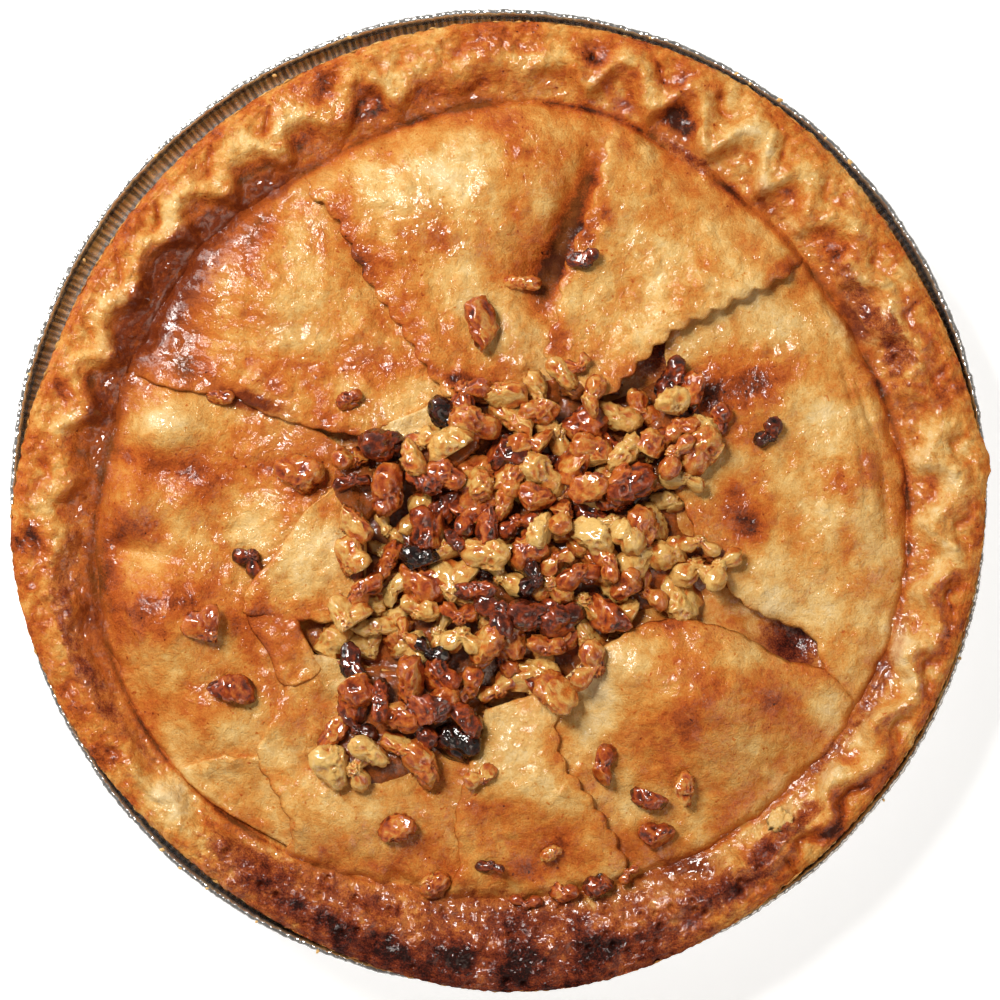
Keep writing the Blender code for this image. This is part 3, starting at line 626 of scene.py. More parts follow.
# browning: x, y, half width, half height, turn, amount
toast = dict(
    rim=[
        (0, 114, 30, 6, 0, 0.14), (-108, -30, 9, 34, 14, 0.16), (-90, 78, 9, 40, -42, 0.05),
        (22, 110, 12, 4, -12, 0.22), (45, 99, 12, 4, -30, 0.12), (-80, 82, 22, 7, 46, 0.1),
        (-40, 107, 16, 5, 20, 0.08), (-112, 30, 6, 16, -15, 0.1), (-116, -14, 4, 18, 4, 0.16),
        (-100, -50, 6, 18, 26, 0.1), (-84, -72, 12, 6, -45, -0.14), (108, 34, 6, 14, 12, 0.12),
        (114, -4, 5, 14, 0, -0.1), (113, -28, 6, 10, 0, 0.06), (88, -78, 14, 5, 42, 0.04),
        (70, -92, 10, 6, 30, 0.12)],
    backLeft=[
        (-66, 66, 14, 5, 20, 0.26), (-78, 40, 7, 10, -28, 0.2), (-47, 33, 12, 7, 10, 0.18),
        (-56, 48, 14, 10, 0, -0.14), (-30, 30, 7, 5, 30, 0.16), (-86, 46, 5, 12, -28, 0.24),
        (-40, 58, 9, 12, 30, -0.08), (-72, 30, 10, 4, -20, 0.2)],
    # the back marks at 19, 72 and 12, 57 darken the crevice beside the next leaf's edge: browning and painted
    # shade
    back=[
        (-40, 76, 5, 5, 0, 0.16), (-35, 60, 4, 12, 28, 0.22), (-22, 44, 4, 9, 26, 0.3),
        (-9, 29.5, 9, 2.6, -16, 0.42), (19, 72, 3.2, 20, -20, 0.6), (12, 57, 3.6, 9, -12, 0.44),
        (0, 98, 26, 4, 0, 0.18), (-16, 80, 10, 7, -30, -0.2), (-4, 66, 12, 5, -20, -0.04),
        (4, 47, 6, 7, 0, -0.12), (8, 84, 8, 6, -20, 0.1), (-24, 88, 12, 4, 16, 0.1)],
    backRight=[
        (54, 84, 14, 4, -45, 0.22), (26, 73, 2.4, 4, 0, 0.28), (71, 58, 4, 3, 0, 0.36),
        (44, 60, 14, 8, -40, -0.14), (40, 42, 10, 4, -22, -0.16), (31, 88, 4, 8, 0, 0.16),
        (58, 68, 9, 6, -40, 0.06), (14, 38, 3, 6, 0, 0.3), (28, 50, 8, 10, 0, -0.08),
        (37, 72, 7, 6, 0, 0.08), (33, 60, 5, 7, 0, 0.12), (50, 76, 8, 4, -40, 0.12)],
    right=[
        (61, -7, 6, 5, 0, 0.34), (58, 2, 5, 5, 0, 0.28), (63, 30, 12, 6, 20, 0.26), (56, 14, 7, 9, 0, 0.14),
        (84, 5, 3.4, 7, 0, 0.26), (86, -9, 3, 5, 0, 0.26), (53, 28, 4, 7, 0, 0.26),
        (80, -26, 9, 11, -20, -0.24), (55, 10, 8, 4, 10, -0.18), (76, 20, 7, 10, 0, -0.14),
        (94, 8, 4, 24, 0, -0.06), (72, -14, 7, 7, 0, -0.12), (90, 36, 5, 8, 20, 0.16),
        (70, 42, 7, 5, -20, -0.08)],
    frontRight=[
        (47, -53, 15, 10, -10, 0.22), (64, -48, 10, 6, -30, 0.08), (22, -52, 6, 14, 0, -0.34),
        (34, -37, 10, 3.6, 0, -0.1), (61, -64, 10, 5, -40, -0.1), (54, -76, 10, 5, -40, 0.16),
        (40, -88, 14, 5, -20, 0.2), (29, -78, 6, 4, 0, -0.14), (76, -58, 10, 4, -50, 0.2),
        (50, -70, 16, 3, 30, -0.08)],
    front=[
        (6, -56, 9, 8, 0, -0.34), (0, -80, 12, 7, 0, 0.2), (18, -86, 9, 7, 0, 0.18),
        (-6, -67, 5, 6, 0, -0.12), (4, -70, 12, 5, 0, -0.1), (0, -93, 20, 4, 0, 0.22)],
    frontLeft=[
        (-52, -58, 5, 7, 20, 0.1), (-34, -64, 10, 6, 0, -0.14), (-30, -84, 14, 5, 0, 0.14),
        (-48, -78, 8, 7, 0, -0.04), (-20, -92, 20, 5, 0, 0.24), (-22, -76, 8, 5, 0, 0.1),
        (-58, -88, 8, 4, -30, 0.16)],
    frontSmall=[(-62, -72, 8, 5, 0, -0.1)],
    left=[
        (-84, 9, 12, 4, -12, 0.24), (-75, 2, 5, 6, 0, 0.22), (-90, -7, 10, 5, 0, 0.22),
        (-82, 19, 11, 4, 0, -0.2), (-86, -27, 11, 7, 10, 0.2), (-101, -25, 5, 26, 14, 0.28),
        (-80, -50, 12, 5, 0, 0.12), (-66, -22, 6, 12, 0, 0.02), (-64, -50, 8, 7, 0, -0.1),
        (-60, 8, 8, 5, 0, 0.06), (-88, 21, 7, 4, 0, -0.16), (-100, 2, 4, 6, 0, -0.14),
        (-94, -20, 5, 5, 0, -0.12), (-72, -38, 8, 8, 0, -0.06)],
    inner=[
        (-46, -12, 9, 11, 0, -0.16), (-60, -24, 3, 6, 20, 0.2), (-52, -33, 6, 5, 30, 0.34),
        (-56, -14, 3, 8, -40, 0.14)],
    leftUnder=[(-54, -36, 6, 7, 0, 0.22)],
    middle=[(-18, 17, 11, 5, 0, -0.16), (-5, 20, 4, 4, 0, 0.14)])

# syrup that has soaked in or pooled: same layout
syrupMarks = [
    (-58, 23, 9, 2.2, -16, 0.95), (-66, 26, 8, 2.6, -10, 0.8), (-44, 14, 8, 4, -20, 0.35),
    (19.5, 76, 2.4, 16, -20, 0.3), (13, 58, 3, 8, -12, 0.3), (-86, 47, 5, 12, -30, 0.75),
    (-78, 62, 10, 5, 42, 0.6), (-58, 76, 12, 3, 26, 0.5), (60, -29, 16, 3.4, -18, 0.7),
    (8, 50, 6, 6, 0, 0.3), (-101, -20, 3, 22, 4, 0.5), (-36, 8, 4, 6, 0, 0.3), (35, 32, 8, 4, 25, 0.75),
    (70, -36, 8, 3.5, -25, 0.8), (48, -93, 10, 4, -30, 0.6), (76, -66, 10, 3, 50, 0.5),
    (66, 76, 10, 3, -44, 0.6), (30, -84, 12, 5, 0, 0.4), (24, 36, 3, 5, -20, 0.6), (-50, -40, 6, 6, 0, 0.6)]
# syrup standing deep and dark: same layout
pools = [
    (-86, 43, 9, 14, -26, 0.95), (-75, 59, 7, 15, -38, 0.8), (-62, 75, 5, 12, -50, 0.45),
    (-46, 85, 4, 10, -62, 0.3), (-97, 22, 5, 10, -14, 0.5), (-64, 25, 10, 2.6, -16, 0.7),
    (89, 47, 5, 8, 28, 0.5), (95, -42, 3, 9, -24, 0.4), (40, -91, 14, 5, -22, 0.3),
    (-104, -28, 3, 12, 6, 0.3)]
# where the glaze lies thick and bright: same layout
shineMarks = [
    (-45, 80, 5, 4, 0, 0.9), (-18, 69, 11, 5, -32, 0.9), (28, 87, 3, 8, 0, 0.7), (-88, 20, 7, 5, 0, 0.9),
    (-101, 1, 4, 8, 0, 0.9), (-95, -27, 5, 8, 0, 0.8), (-57, -19, 4, 7, 20, 0.9), (-31, 36, 6, 5, 0, 0.8),
    (-51, 16, 6, 4, 0, 1), (-75, 52, 5, 11, -10, 1), (-11, -76, 4, 8, 0, 0.7), (104, -38, 6, 12, -20, 0.9),
    (95, 46, 7, 14, 28, 1), (64, -47, 8, 6, 0, 0.5), (-100, -36, 7, 12, 20, 0.8), (-38, -88, 12, 6, 0, 0.7),
    (60, 5, 8, 6, 0, 0.4), (-84, -4, 9, 6, 0, 0.4), (92, 4, 5, 22, 0, 0.6), (44, -44, 12, 6, 0, 0.4),
    (18, 70, 4, 18, -20, -0.7)]
# sugar that boiled over and burnt: angle, share of the way out, half angle, half share, amount
burnt = [
    (266, 0.98, 32, 0.5, 0.72), (258, 0.45, 25, 0.36, 0.34), (284, 0.42, 18, 0.3, 0.36),
    (262, 0.02, 30, 0.26, 0.26), (236, 0.42, 7, 0.22, 0.4), (302, 0.55, 7, 0.22, 0.42),
    (311, 0.36, 6, 0.16, 0.44), (196, 0.42, 8, 0.15, 0.46), (206, 0.32, 6, 0.16, 0.42),
    (188, 0.2, 6, 0.1, 0.26), (216, 0.16, 5, 0.1, 0.3), (22, 0.34, 5, 0.18, 0.42),
    (30, 0.22, 5, 0.14, 0.38), (16, 0.2, 5, 0.12, 0.3), (62, -0.02, 5, 0.08, 0.46),
    (328, 0.02, 9, 0.09, 0.42), (322, -0.06, 8, 0.08, 0.24)]
creaseSyrupAt = ringTable([
    (0, 0.25), (18, 0.5), (26, 0.85), (36, 0.55), (50, 0.45), (62, 0.5), (76, 0.3), (90, 0.45), (106, 0.5),
    (122, 0.55), (138, 0.85), (155, 0.95), (170, 0.8), (182, 0.6), (200, 0.45), (214, 0.3), (226, 0.15),
    (238, 0.4), (248, 0.8), (270, 0.9), (290, 0.85), (304, 0.6), (316, 0.45), (330, 0.75), (344, 0.4)])
# reach of the soaked valley outward, as a share of the crimped edge
soakReach = ringTable([
    (0, 0.1), (20, 0.34), (30, 0.3), (45, 0.12), (60, 0.16), (80, 0.14), (100, 0.14), (125, 0.2), (145, 0.36),
    (165, 0.36), (180, 0.32), (200, 0.48), (212, 0.3), (226, 0.12), (240, 0.45), (250, 0.8), (270, 0.95),
    (288, 0.85), (300, 0.4), (315, 0.2), (332, 0.22), (346, 0.14)])


def soaked(x, y, share):  # how much syrup stains the pastry here
    degrees = np.degrees(np.arctan2(y, x))
    out = np.abs(share) / np.maximum(soakReach(degrees), 0.05)
    ring = creaseSyrupAt(degrees) * (1 - easeStep(0.6, 1.25, out))
    inside = creaseSyrupAt(degrees) * bell(np.minimum(share, 0.0), 0.14) * (share < 0)
    blotchy = 0.62 + 1.1 * ripples(x, y, 13, 3, 61)
    thin = np.where(share < 0, inside, ring) + spots(x, y, syrupMarks)
    return thin * clamp01(blotchy) + spots(x, y, pools)


def crimpShape(degrees, share):
    # gives the height above the crease, the painted light and shade on each lobe's flanks, and how deep in a
    # hollow or fold a point is
    depth = fluteDepthAt(degrees) * (1.0 + 0.55 * ripple(degrees / 8.0, 0 * degrees, 22))
    turn = (degrees - crimp["first"]) / crimp["pitch"] + 0.17 * ripple(degrees / 12.0, share * 1.3, 21)
    wave = 2 * math.pi * turn
    crest = np.cos(wave + 0.25 * np.sin(wave))
    swing = crimp["swing"] * (1.0 + 0.35 * ripple(degrees / 17.0, 0 * degrees, 27))
    away = share - crimp["centre"] + swing * crest * depth + 0.07 * ripples(degrees, share * 12, 6.0, 2, 23)
    wall = easeStep(-0.3, 0.07, away)
    ridge = bell(away, crimp["ridgeWidth"]) * depth
    aside = crimp["pitch"] * (turn - np.rint(turn))
    lean = crimp["foldSlope"] * (share - crimp["foldFrom"]) + 0.25 * ripples(degrees, share * 20, 3.0, 2, 25)
    reach = easeStep(-0.05, 0.06, share - crimp["foldFrom"]) * (1.0 - easeStep(0.74, 0.9, share)) * depth
    foldWidth = crimp["foldWidth"]
    fold = foldUp(degrees) * bell(aside - lean, foldWidth) + foldDown(degrees) * bell(aside + lean, foldWidth)
    fold = clamp01(fold + 0.35 * bell(away - 0.27, 0.1)) * reach
    panel = clamp01(crest) * bell(share - 0.72, 0.16) * depth
    height = crimp["floor"] * easeStep(0.0, 0.3, share) + crimp["rise"] * wall + crimp["ridge"] * ridge
    height -= crimp["fold"] * fold + 0.9 * panel + 0.4 * easeStep(0.7, 1.0, share)
    lines = share + 0.012 * ripples(degrees * 1.4, share * 2, 3.0, 2, 24)
    for k, place in enumerate(crimp["layers"]):  # flaky layers stepping down to the edge
        height -= (0.3 + 0.14 * k) * easeStep(place, place + 0.018, lines)
    hollowShade = clamp01((1 - wall) * clamp01(0.35 - crest) * depth * easeStep(0.02, 0.25, share))
    # painted light and shade: the flank of each lobe turned to the light from the back left is painted paler,
    # and the flank turned away from it, the outer one at the front right and the inner one at the back left,
    # is painted browner
    facing = 0.13 * np.sin(np.radians(degrees - 45.0))
    flankLight = bell(away - facing, 0.15) * depth
    flankLight = flankLight - 1.3 * bell(away + 1.6 * facing, 0.14) * depth * np.abs(facing) / 0.13
    return height, flankLight, hollowShade, fold


def burntSugar(degrees, share, x, y):  # amount of burnt sugar, and the height its crust and bubbles add
    amount = 0.0
    for angle, out, halfAngle, halfOut, strength in burnt:
        around = turnedAway(degrees, angle) / halfAngle
        amount = amount + 0.92 * strength * np.exp(-around ** 4 - ((share - out) / halfOut) ** 4)
    grit = 0.25 * ripples(x, y, 3.0, 2, 102) * (amount > 0.1)
    amount = amount * (1.0 + 0.9 * ripples(x, y, 9.0, 3, 101)) + grit
    cover = easeStep(0.14, 0.36, amount)
    height = cover * (0.35 + 0.7 * ripples(x, y, 6.5, 3, 103) + 0.4 * ripples(x, y, 1.7, 2, 104))
    for k, (size, depth, often) in enumerate(((1.9, 0.5, 0.55), (4.2, 1.3, 0.75))):
        gap, chance = bubbleField(x, y, size, 110 + k)
        pit = 0.2 * bell(gap - 0.32, 0.1) - depth * (1 - easeStep(0.08, 0.27, gap))
        height += cover * (chance > often) * pit
    return clamp01(amount) * easeStep(0.05, 0.2, amount), height


def commonBakeAndShade(x, y, share):  # browning that runs on unbroken from the lid over the crease to the rim, with painted shade along the crease and painted light and shade on the rim's inner face
    degrees = np.degrees(np.arctan2(y, x))
    mottle = 0.36 * ripples(x, y, 18, 2, 50) + 0.2 * ripples(x, y, 6, 3, 51)
    # painted shade along the crease, darkest in a narrow line at its foot
    valleyShade = bell(share + 0.03, 0.085) * (0.2 + 0.4 * ripples(degrees, share, 7, 2, 54))
    valleyShade = valleyShade + 0.26 * bell(share + 0.055, 0.04)
    return 0.40 + mottle + valleyShade + wallLightShade(degrees) * bell(share - 0.12, 0.26) + spots(x, y, toast["rim"])


# foot and slope: where the outer wall starts and how far it runs; ledge and band: reach and height of its top
crustBowl = dict(foot=(88.2, 0.75), slope=(22.9, 30.15), ledge=(117.5, 31.6), band=(119.5, 36.9),
                 faceLow=37.5, inside=3.2, insideFoot=90.0, insideTop=36.4, insideDepth=32.8)
rimCracks = [
    (70.7, -88.8, 75.3, -94.7, 0.5, -2.6), (-104, 54, -99, 50, 0.5, -0.8), (24, 114, 22, 107, 0.5, -0.9)]


def makeCrust(material):
    top = np.concatenate([np.linspace(1.0, 0.93, 6)[:-1], np.linspace(0.93, 0.0, 52), [-0.05, -0.10, -0.16]])
    marks = [("centre", 0.75)] + [("low", s) for s in (0.0, 0.5, 1.0)] + [("ledge", 0), ("band", 0)]
    marks += [("face", s) for s in np.linspace(0.0, 0.9, 9)] + [("top", s) for s in top]
    marks += [("inside", s) for s in (0.25, 0.6, 1.0)] + [("centre", 3.6)]
    mesh, ring, degrees = rolledRings("crust", len(marks), crimp["steps"], (0, len(marks) - 1))
    kinds = np.array([kind for kind, _ in marks])[ring]
    value = np.array([v for _, v in marks])[ring]
    edge, crease = outerEdge(degrees), creaseAt(degrees)
    flake = 0.7 * ripples(degrees * 2.0, value * 5, 2.6, 3, 31) + 0.4 * ripple(degrees * 0.8, value * 9, 32)
    r, z = np.zeros(len(ring)), np.zeros(len(ring))
    low, ledge, band = kinds == "low", kinds == "ledge", kinds == "band"
    face, upper, inside, centre = kinds == "face", kinds == "top", kinds == "inside", kinds == "centre"
    (footR, footZ), (slopeR, slopeZ) = crustBowl["foot"], crustBowl["slope"]
    r[low], z[low] = (footR + slopeR * value)[low], (footZ + slopeZ * value)[low]
    r[ledge], z[ledge] = np.minimum(crustBowl["ledge"][0], edge - 0.8)[ledge], crustBowl["ledge"][1]
    r[band], z[band] = np.minimum(crustBowl["band"][0], edge - 0.4)[band], crustBowl["band"][1]
    topEdge = pie["creaseHeight"] + crimpShape(degrees, np.ones(len(ring)))[0]
    r[face] = (edge - 0.3 * (2 * value - 0.9) ** 2 + flake - 0.5)[face]
    z[face] = (crustBowl["faceLow"] + (topEdge - crustBowl["faceLow"]) * value)[face]
    share = np.where(upper, value, 1.0)
    rise, flankLight, hollowShade, fold = crimpShape(degrees, share)
    r[upper] = (crease + (edge - 0.5 - crease) * value)[upper]
    r = r + upper * 0.6 * easeStep(0.85, 1.0, share) * ripples(degrees * 2.0, 0 * share, 2.6, 3, 31)
    z[upper] = (pie["creaseHeight"] + rise - 1.6 * easeStep(0.04, -0.14, share))[upper]
    r[inside] = (crease - crustBowl["inside"] - (crease - crustBowl["insideFoot"]) * value)[inside]
    z[inside] = (crustBowl["insideTop"] - crustBowl["insideDepth"] * value)[inside]
    z[centre] = value[centre]
    angle = np.radians(degrees)
    x, y = r * np.cos(angle), r * np.sin(angle)
    rough = 1.0 * ripples(x, y, 7.0, 3, 40) + 0.55 * ripples(x, y, 2.2, 3, 41)
    blister, chance = bubbleField(x, y, 5.0, 45)
    rough += 0.5 * (chance > 0.55) * (1 - easeStep(0.1, 0.34, blister))
    char, sugar = burntSugar(degrees, share, x, y)
    z = z + upper * (rough * easeStep(-0.05, 0.12, share) + sugar + grooves(x, y, rimCracks))
    z = z - upper * easeStep(0.9, 1.0, share) * 0.5 * (0.5 + 0.5 * ripple(degrees * 1.3, 0 * x, 47))
    writePoints(mesh, np.stack([x, y, z], 1) * mm)
    faceOutward(mesh)
    # painted light and shade on the lobes' flanks
    bake = commonBakeAndShade(x, y, share) - 0.19 * flankLight
    # browning and painted shade in the hollows between lobes and along the folds
    bake = bake + 0.32 * hollowShade * (0.8 + 1.5 * ripples(x, y, 8, 2, 53)) + 0.28 * fold
    # painted shade in the dips of the rough surface, and browning towards the outer edge
    bake += 0.16 * clamp01(-rough) + 0.10 * easeStep(0.72, 0.9, share)
    bake = np.where(upper, bake, 0.4 + 0.16 * ripples(degrees * 0.7, value * 7, 3, 2, 48))
    syrup = clamp01(np.where(upper, soaked(x, y, share), 0.0))
    shine = 0.4 + 0.6 * clamp01(ripples(x, y, 12, 2, 52) + 0.2) + 0.3 * clamp01(1 - share / 0.5)
    shine = shine + spots(x, y, shineMarks)
    shine = np.where(upper, shine * (1 - 0.75 * easeStep(0.66, 0.95, share)), 0.05)
    finishMesh("crimpedCrust", mesh, material, "bottom_crust",
               dict(bake=bake, syrup=syrup, shine=shine, char=np.where(upper, char, 0.0)))
    print("bottom crust crimped")


leaves = dict(
    back=dict(
        node="lid_leaf_back", crease=(120.4, 74.6), lifts=(2.7, -1.6, 0.6), wavy=(1, 0, 0), tuck=(0, 3.5, 0),
        bake=0.42,
        dips=[(18, 72, 4.5, 20, -20, -3.6), (10, 56, 5, 8, -12, -1.5)],
        first=[
            (-47.5, 80.2), (-45.6, 72.6), (-41.5, 69.3), (-38, 63.8), (-33, 54), (-25.3, 43), (-17.8, 31.5),
            (-13.6, 26), (-8, 24.6)],
        second=[(26.1, 92.5), (24, 81.3), (21.6, 72), (14.9, 56), (13.2, 45), (10.5, 36), (11, 24)]),
    backRight=dict(
        node="lid_leaf_back_right", crease=(73.6, 38.8), lifts=(3.4, 4, 3.4), wavy=(1, 1, 0.6),
        tuck=(0, 0, 0),
        bake=0.4,
        first=[(27, 92.6), (24.7, 81.3), (22.3, 72), (15.6, 56), (13.9, 45), (11.2, 36), (16.5, 26.3)],
        second=[(76.4, 60.6), (71, 55), (61.3, 50.2), (52.5, 46), (44, 42), (37.3, 36.4), (27, 25.5)]),
    right=dict(
        node="lid_leaf_right", crease=(37.8, -31.2), lifts=(-0.4, 0.8, 0.5), wavy=(0, 0.5, 0), tuck=(6, 0, 2),
        bake=0.4,
        first=[(77, 59.6), (61.8, 49.2), (52.9, 45), (47, 38.5), (48.5, 26), (44, 15)],
        second=[
            (90.5, -55), (87, -49), (81, -42.5), (77.8, -34.5), (69, -30.5), (62, -27), (56, -20.5),
            (50, -11), (45.5, 3)]),
    frontRight=dict(
        node="lid_leaf_front_right", crease=(-30.4, -69.4), lifts=(1, -0.4, 0), wavy=(0.3, 0, 0),
        tuck=(0, 5, 2),
        bake=0.43,
        first=[
            (88.4, -51.4), (84.5, -45.5), (79, -40.5), (70, -38.6), (64, -35.2), (56, -31.2), (44, -29.2),
            (34, -31.5), (25, -38.5)],
        second=[(36, -95), (29.6, -82.5), (22.3, -72), (17.4, -66), (15.3, -58), (15.2, -50)]),
    front=dict(
        node="lid_leaf_front", crease=(-70.6, -98.6), lifts=(2.2, 2.4, 0.5), wavy=(1, 0.4, 0), tuck=(0, 0, 2),
        bake=0.42,
        first=[(35, -95.4), (28.6, -82), (21.3, -71.6), (16.3, -65.6), (14.3, -58), (14.2, -48.5)],
        second=[(-15.6, -100), (-10.4, -90), (-11.4, -80.5), (-9.8, -72.5), (-6, -62), (-3, -54)]),
    frontLeft=dict(
        node="lid_leaf_front_left", crease=(-99.6, -121.4), lifts=(-0.4, 2.4, 0.8), wavy=(0, 0.6, 0),
        tuck=(4, 0, 2), bake=0.4,
        first=[(-16.6, -100.4), (-11.4, -90), (-12.4, -80.5), (-10.8, -72.5), (-10, -62), (-18, -48)],
        second=[
            (-54, -89.5), (-51.5, -82), (-55.8, -72.8), (-60.5, -63.8), (-57, -54.5), (-54, -48),
            (-48.5, -40)]),
    frontSmall=dict(
        node="lid_leaf_front_small", crease=None, lifts=(-0.2, 1.6, 1.8), wavy=(0, 0.2, 0.3), tuck=(3, 0, 0),
        bake=0.38,
        first=[(-52.4, -87), (-51.8, -82.3), (-56, -73), (-60.8, -65)],
        second=[(-72.6, -75.6), (-80.4, -68.2), (-77.2, -66), (-68.5, -63.6)]),
    left=dict(
        node="lid_leaf_left", crease=(220.2, 161.8), lifts=(0, 0, -0.5), wavy=(0, 0, 0), tuck=(4, 4, 5),
        bake=0.49,
        first=[
            (-80.6, -66.4), (-78, -65.4), (-68.3, -63.2), (-61.2, -62), (-57.4, -55.3), (-56.4, -46),
            (-60, -38), (-60, -29)],
        second=[
            (-92.6, 30.5), (-82.5, 27.8), (-72, 26), (-65, 24.4), (-58.5, 20.3), (-51, 16), (-40, 8),
            (-34, 0)]),
    leftUnder=dict(
        node="lid_leaf_left_under", crease=None, lifts=(2, 1.6, 1.6), wavy=(0, 0, 0), tuck=(0, 0, 0),
        bake=0.46,
        first=[(-63.4, -26), (-62.2, -31.5), (-57.6, -38.2), (-55, -45.2), (-51, -46.4)],
        second=[(-50, -26), (-49.4, -31.8), (-45.4, -39.6), (-44.2, -42), (-46.6, -44.4)]),
    inner=dict(
        node="lid_leaf_left_inner", crease=None, lifts=(3.2, 2.4, 3.6), wavy=(0.2, 0, 0.5), tuck=(0, 0, 0),
        bake=0.34,
        first=[(-48.5, -2.8), (-50.5, -5.8), (-55.8, -13.5), (-62.8, -21.8), (-64, -28.4)],
        second=[(-37.5, 6), (-34, -4), (-33, -14), (-34, -22), (-38, -31)]),
    backLeft=dict(
        node="lid_leaf_back_left", crease=(121.4, 161), lifts=(-0.6, 2.2, 1), wavy=(0, 0.3, 0.4),
        tuck=(4, 0, 0),
        bake=0.49,
        first=[
            (-48.4, 79.4), (-46.2, 72.2), (-42, 69), (-38.6, 63.4), (-34, 53.8), (-26.3, 42.8), (-18.8, 31.3),
            (-13.5, 24)],
        second=[(-92.2, 31.8), (-82.5, 27.6), (-72, 26), (-65, 25), (-58.5, 21.3), (-46, 17.6), (-34, 15.5)]),
    middle=dict(
        node="lid_leaf_middle", crease=None, lifts=(2.2, 1.2, 1.4), wavy=(0.3, 0.2, 0), tuck=(0, 0, 0),
        bake=0.36,
        first=[(-12.4, 25.4), (-5.5, 22), (-3.4, 17), (-9, 9)],
        second=[(-33, 17), (-29, 12.5), (-25, 8.5), (-20, 3)]))
scallop = dict(pitch=5.6, depth=0.95, fade=4.0)
leafMake = dict(grid=0.72, thick=2.2, rounding=0.8, liftReach=13.0, above=0.6, tuckDown=3.0, blister=0.6)
leafCracks = [
    (-8, 80, -9.4, 74, 0.35, -0.7), (-2, 65.6, 5.4, 61.4, 0.5, 0.7), (60, 62, 61.5, 55, 0.3, -0.5),
    (88, 32, 95, 12, 0.8, -1.5), (95, 12, 97, -10, 0.8, -1.5), (85, 36, 89, 20, 0.7, -1.1),
    (89, 20, 92, -4, 0.7, -1.1), (-74, 10, -62, 7.5, 0.6, 0.5), (63.5, -74, 55, -88, 0.6, 0.6),
    (45, -30, 46, -38, 0.4, -0.5)]


def scalloped(run):  # small waves along an edge
    return scallop["depth"] * (np.abs(np.sin(np.pi * run / scallop["pitch"])) * 1.5 - 0.9)


def edgeWave(points, amount, tuck, outward):  # a leaf's edge: wavy and bright, or tucked under its neighbour
    fine, run = smoothLine(points)
    along = np.gradient(fine, axis=0)
    along /= np.maximum(np.hypot(*along.T), 1e-9)[:, None]
    normal = np.stack([along[:, 1], -along[:, 0]], 1) * outward
    wobble = amount * scalloped(run)
    ends = easeStep(0.0, 5.0, run)
    return fine + normal * ((wobble + tuck) * ends)[:, None], run / run[-1]


def leafPlan(leaf, u, v):
    middle = np.array(leaf["first"]).mean(0) - np.array(leaf["second"]).mean(0)
    startDirection = np.array(leaf["first"][-1]) - np.array(leaf["first"][0])
    side = 1.0 if startDirection[1] * middle[0] - startDirection[0] * middle[1] > 0 else -1.0
    edges = []
    for k, (key, sign) in enumerate((("first", side), ("second", -side))):
        fine, share = edgeWave(leaf[key], leaf["wavy"][k], leaf["tuck"][k], sign)
        plain, _ = smoothLine(leaf[key])
        for line in (fine, plain):
            edges.append(np.stack([np.interp(v, share, line[:, c]) for c in (0, 1)], 1))
    firstEdge, firstPlain, secondEdge, secondPlain = edges
    span = np.maximum(np.hypot(*(firstPlain - secondPlain).T), 4.0)
    nearFirst, nearSecond = u * span, (1 - u) * span
    fade = scallop["fade"]
    flat = firstPlain * (1 - u)[:, None] + secondPlain * u[:, None]
    firstFade = fade if leaf["tuck"][0] == 0 else 0.35 * span
    secondFade = fade if leaf["tuck"][1] == 0 else 0.35 * span
    flat = flat + (firstEdge - firstPlain) * np.exp(-nearFirst / firstFade)[:, None]
    flat = flat + (secondEdge - secondPlain) * np.exp(-nearSecond / secondFade)[:, None]
    if leaf["crease"]:
        degrees = leaf["crease"][0] + (leaf["crease"][1] - leaf["crease"][0]) * u
        radius = creaseAt(degrees) + 1.6
        base = np.stack([np.cos(np.radians(degrees)), np.sin(np.radians(degrees))], 1) * radius[:, None]
        chord = np.array(leaf["first"][0]) * (1 - u)[:, None] + np.array(leaf["second"][0]) * u[:, None]
        flat = flat + (base - chord) * ((1 - v) ** 2)[:, None]
    tipSpan = max(np.hypot(*(np.array(leaf["first"][-1]) - leaf["second"][-1])), 1.0)
    tipWay = flat - np.mean([leaf["first"][0], leaf["second"][0]], axis=0)
    tipWay /= np.maximum(np.hypot(*tipWay.T), 1e-6)[:, None]
    length = smoothLine(leaf["first"])[1][-1]
    wobble = leaf["wavy"][2] * scalloped(u * tipSpan)
    flat = flat + tipWay * ((wobble + leaf["tuck"][2]) * np.exp(-(1 - v) * length / fade))[:, None]
    return flat, nearFirst, nearSecond, (1 - v) * length


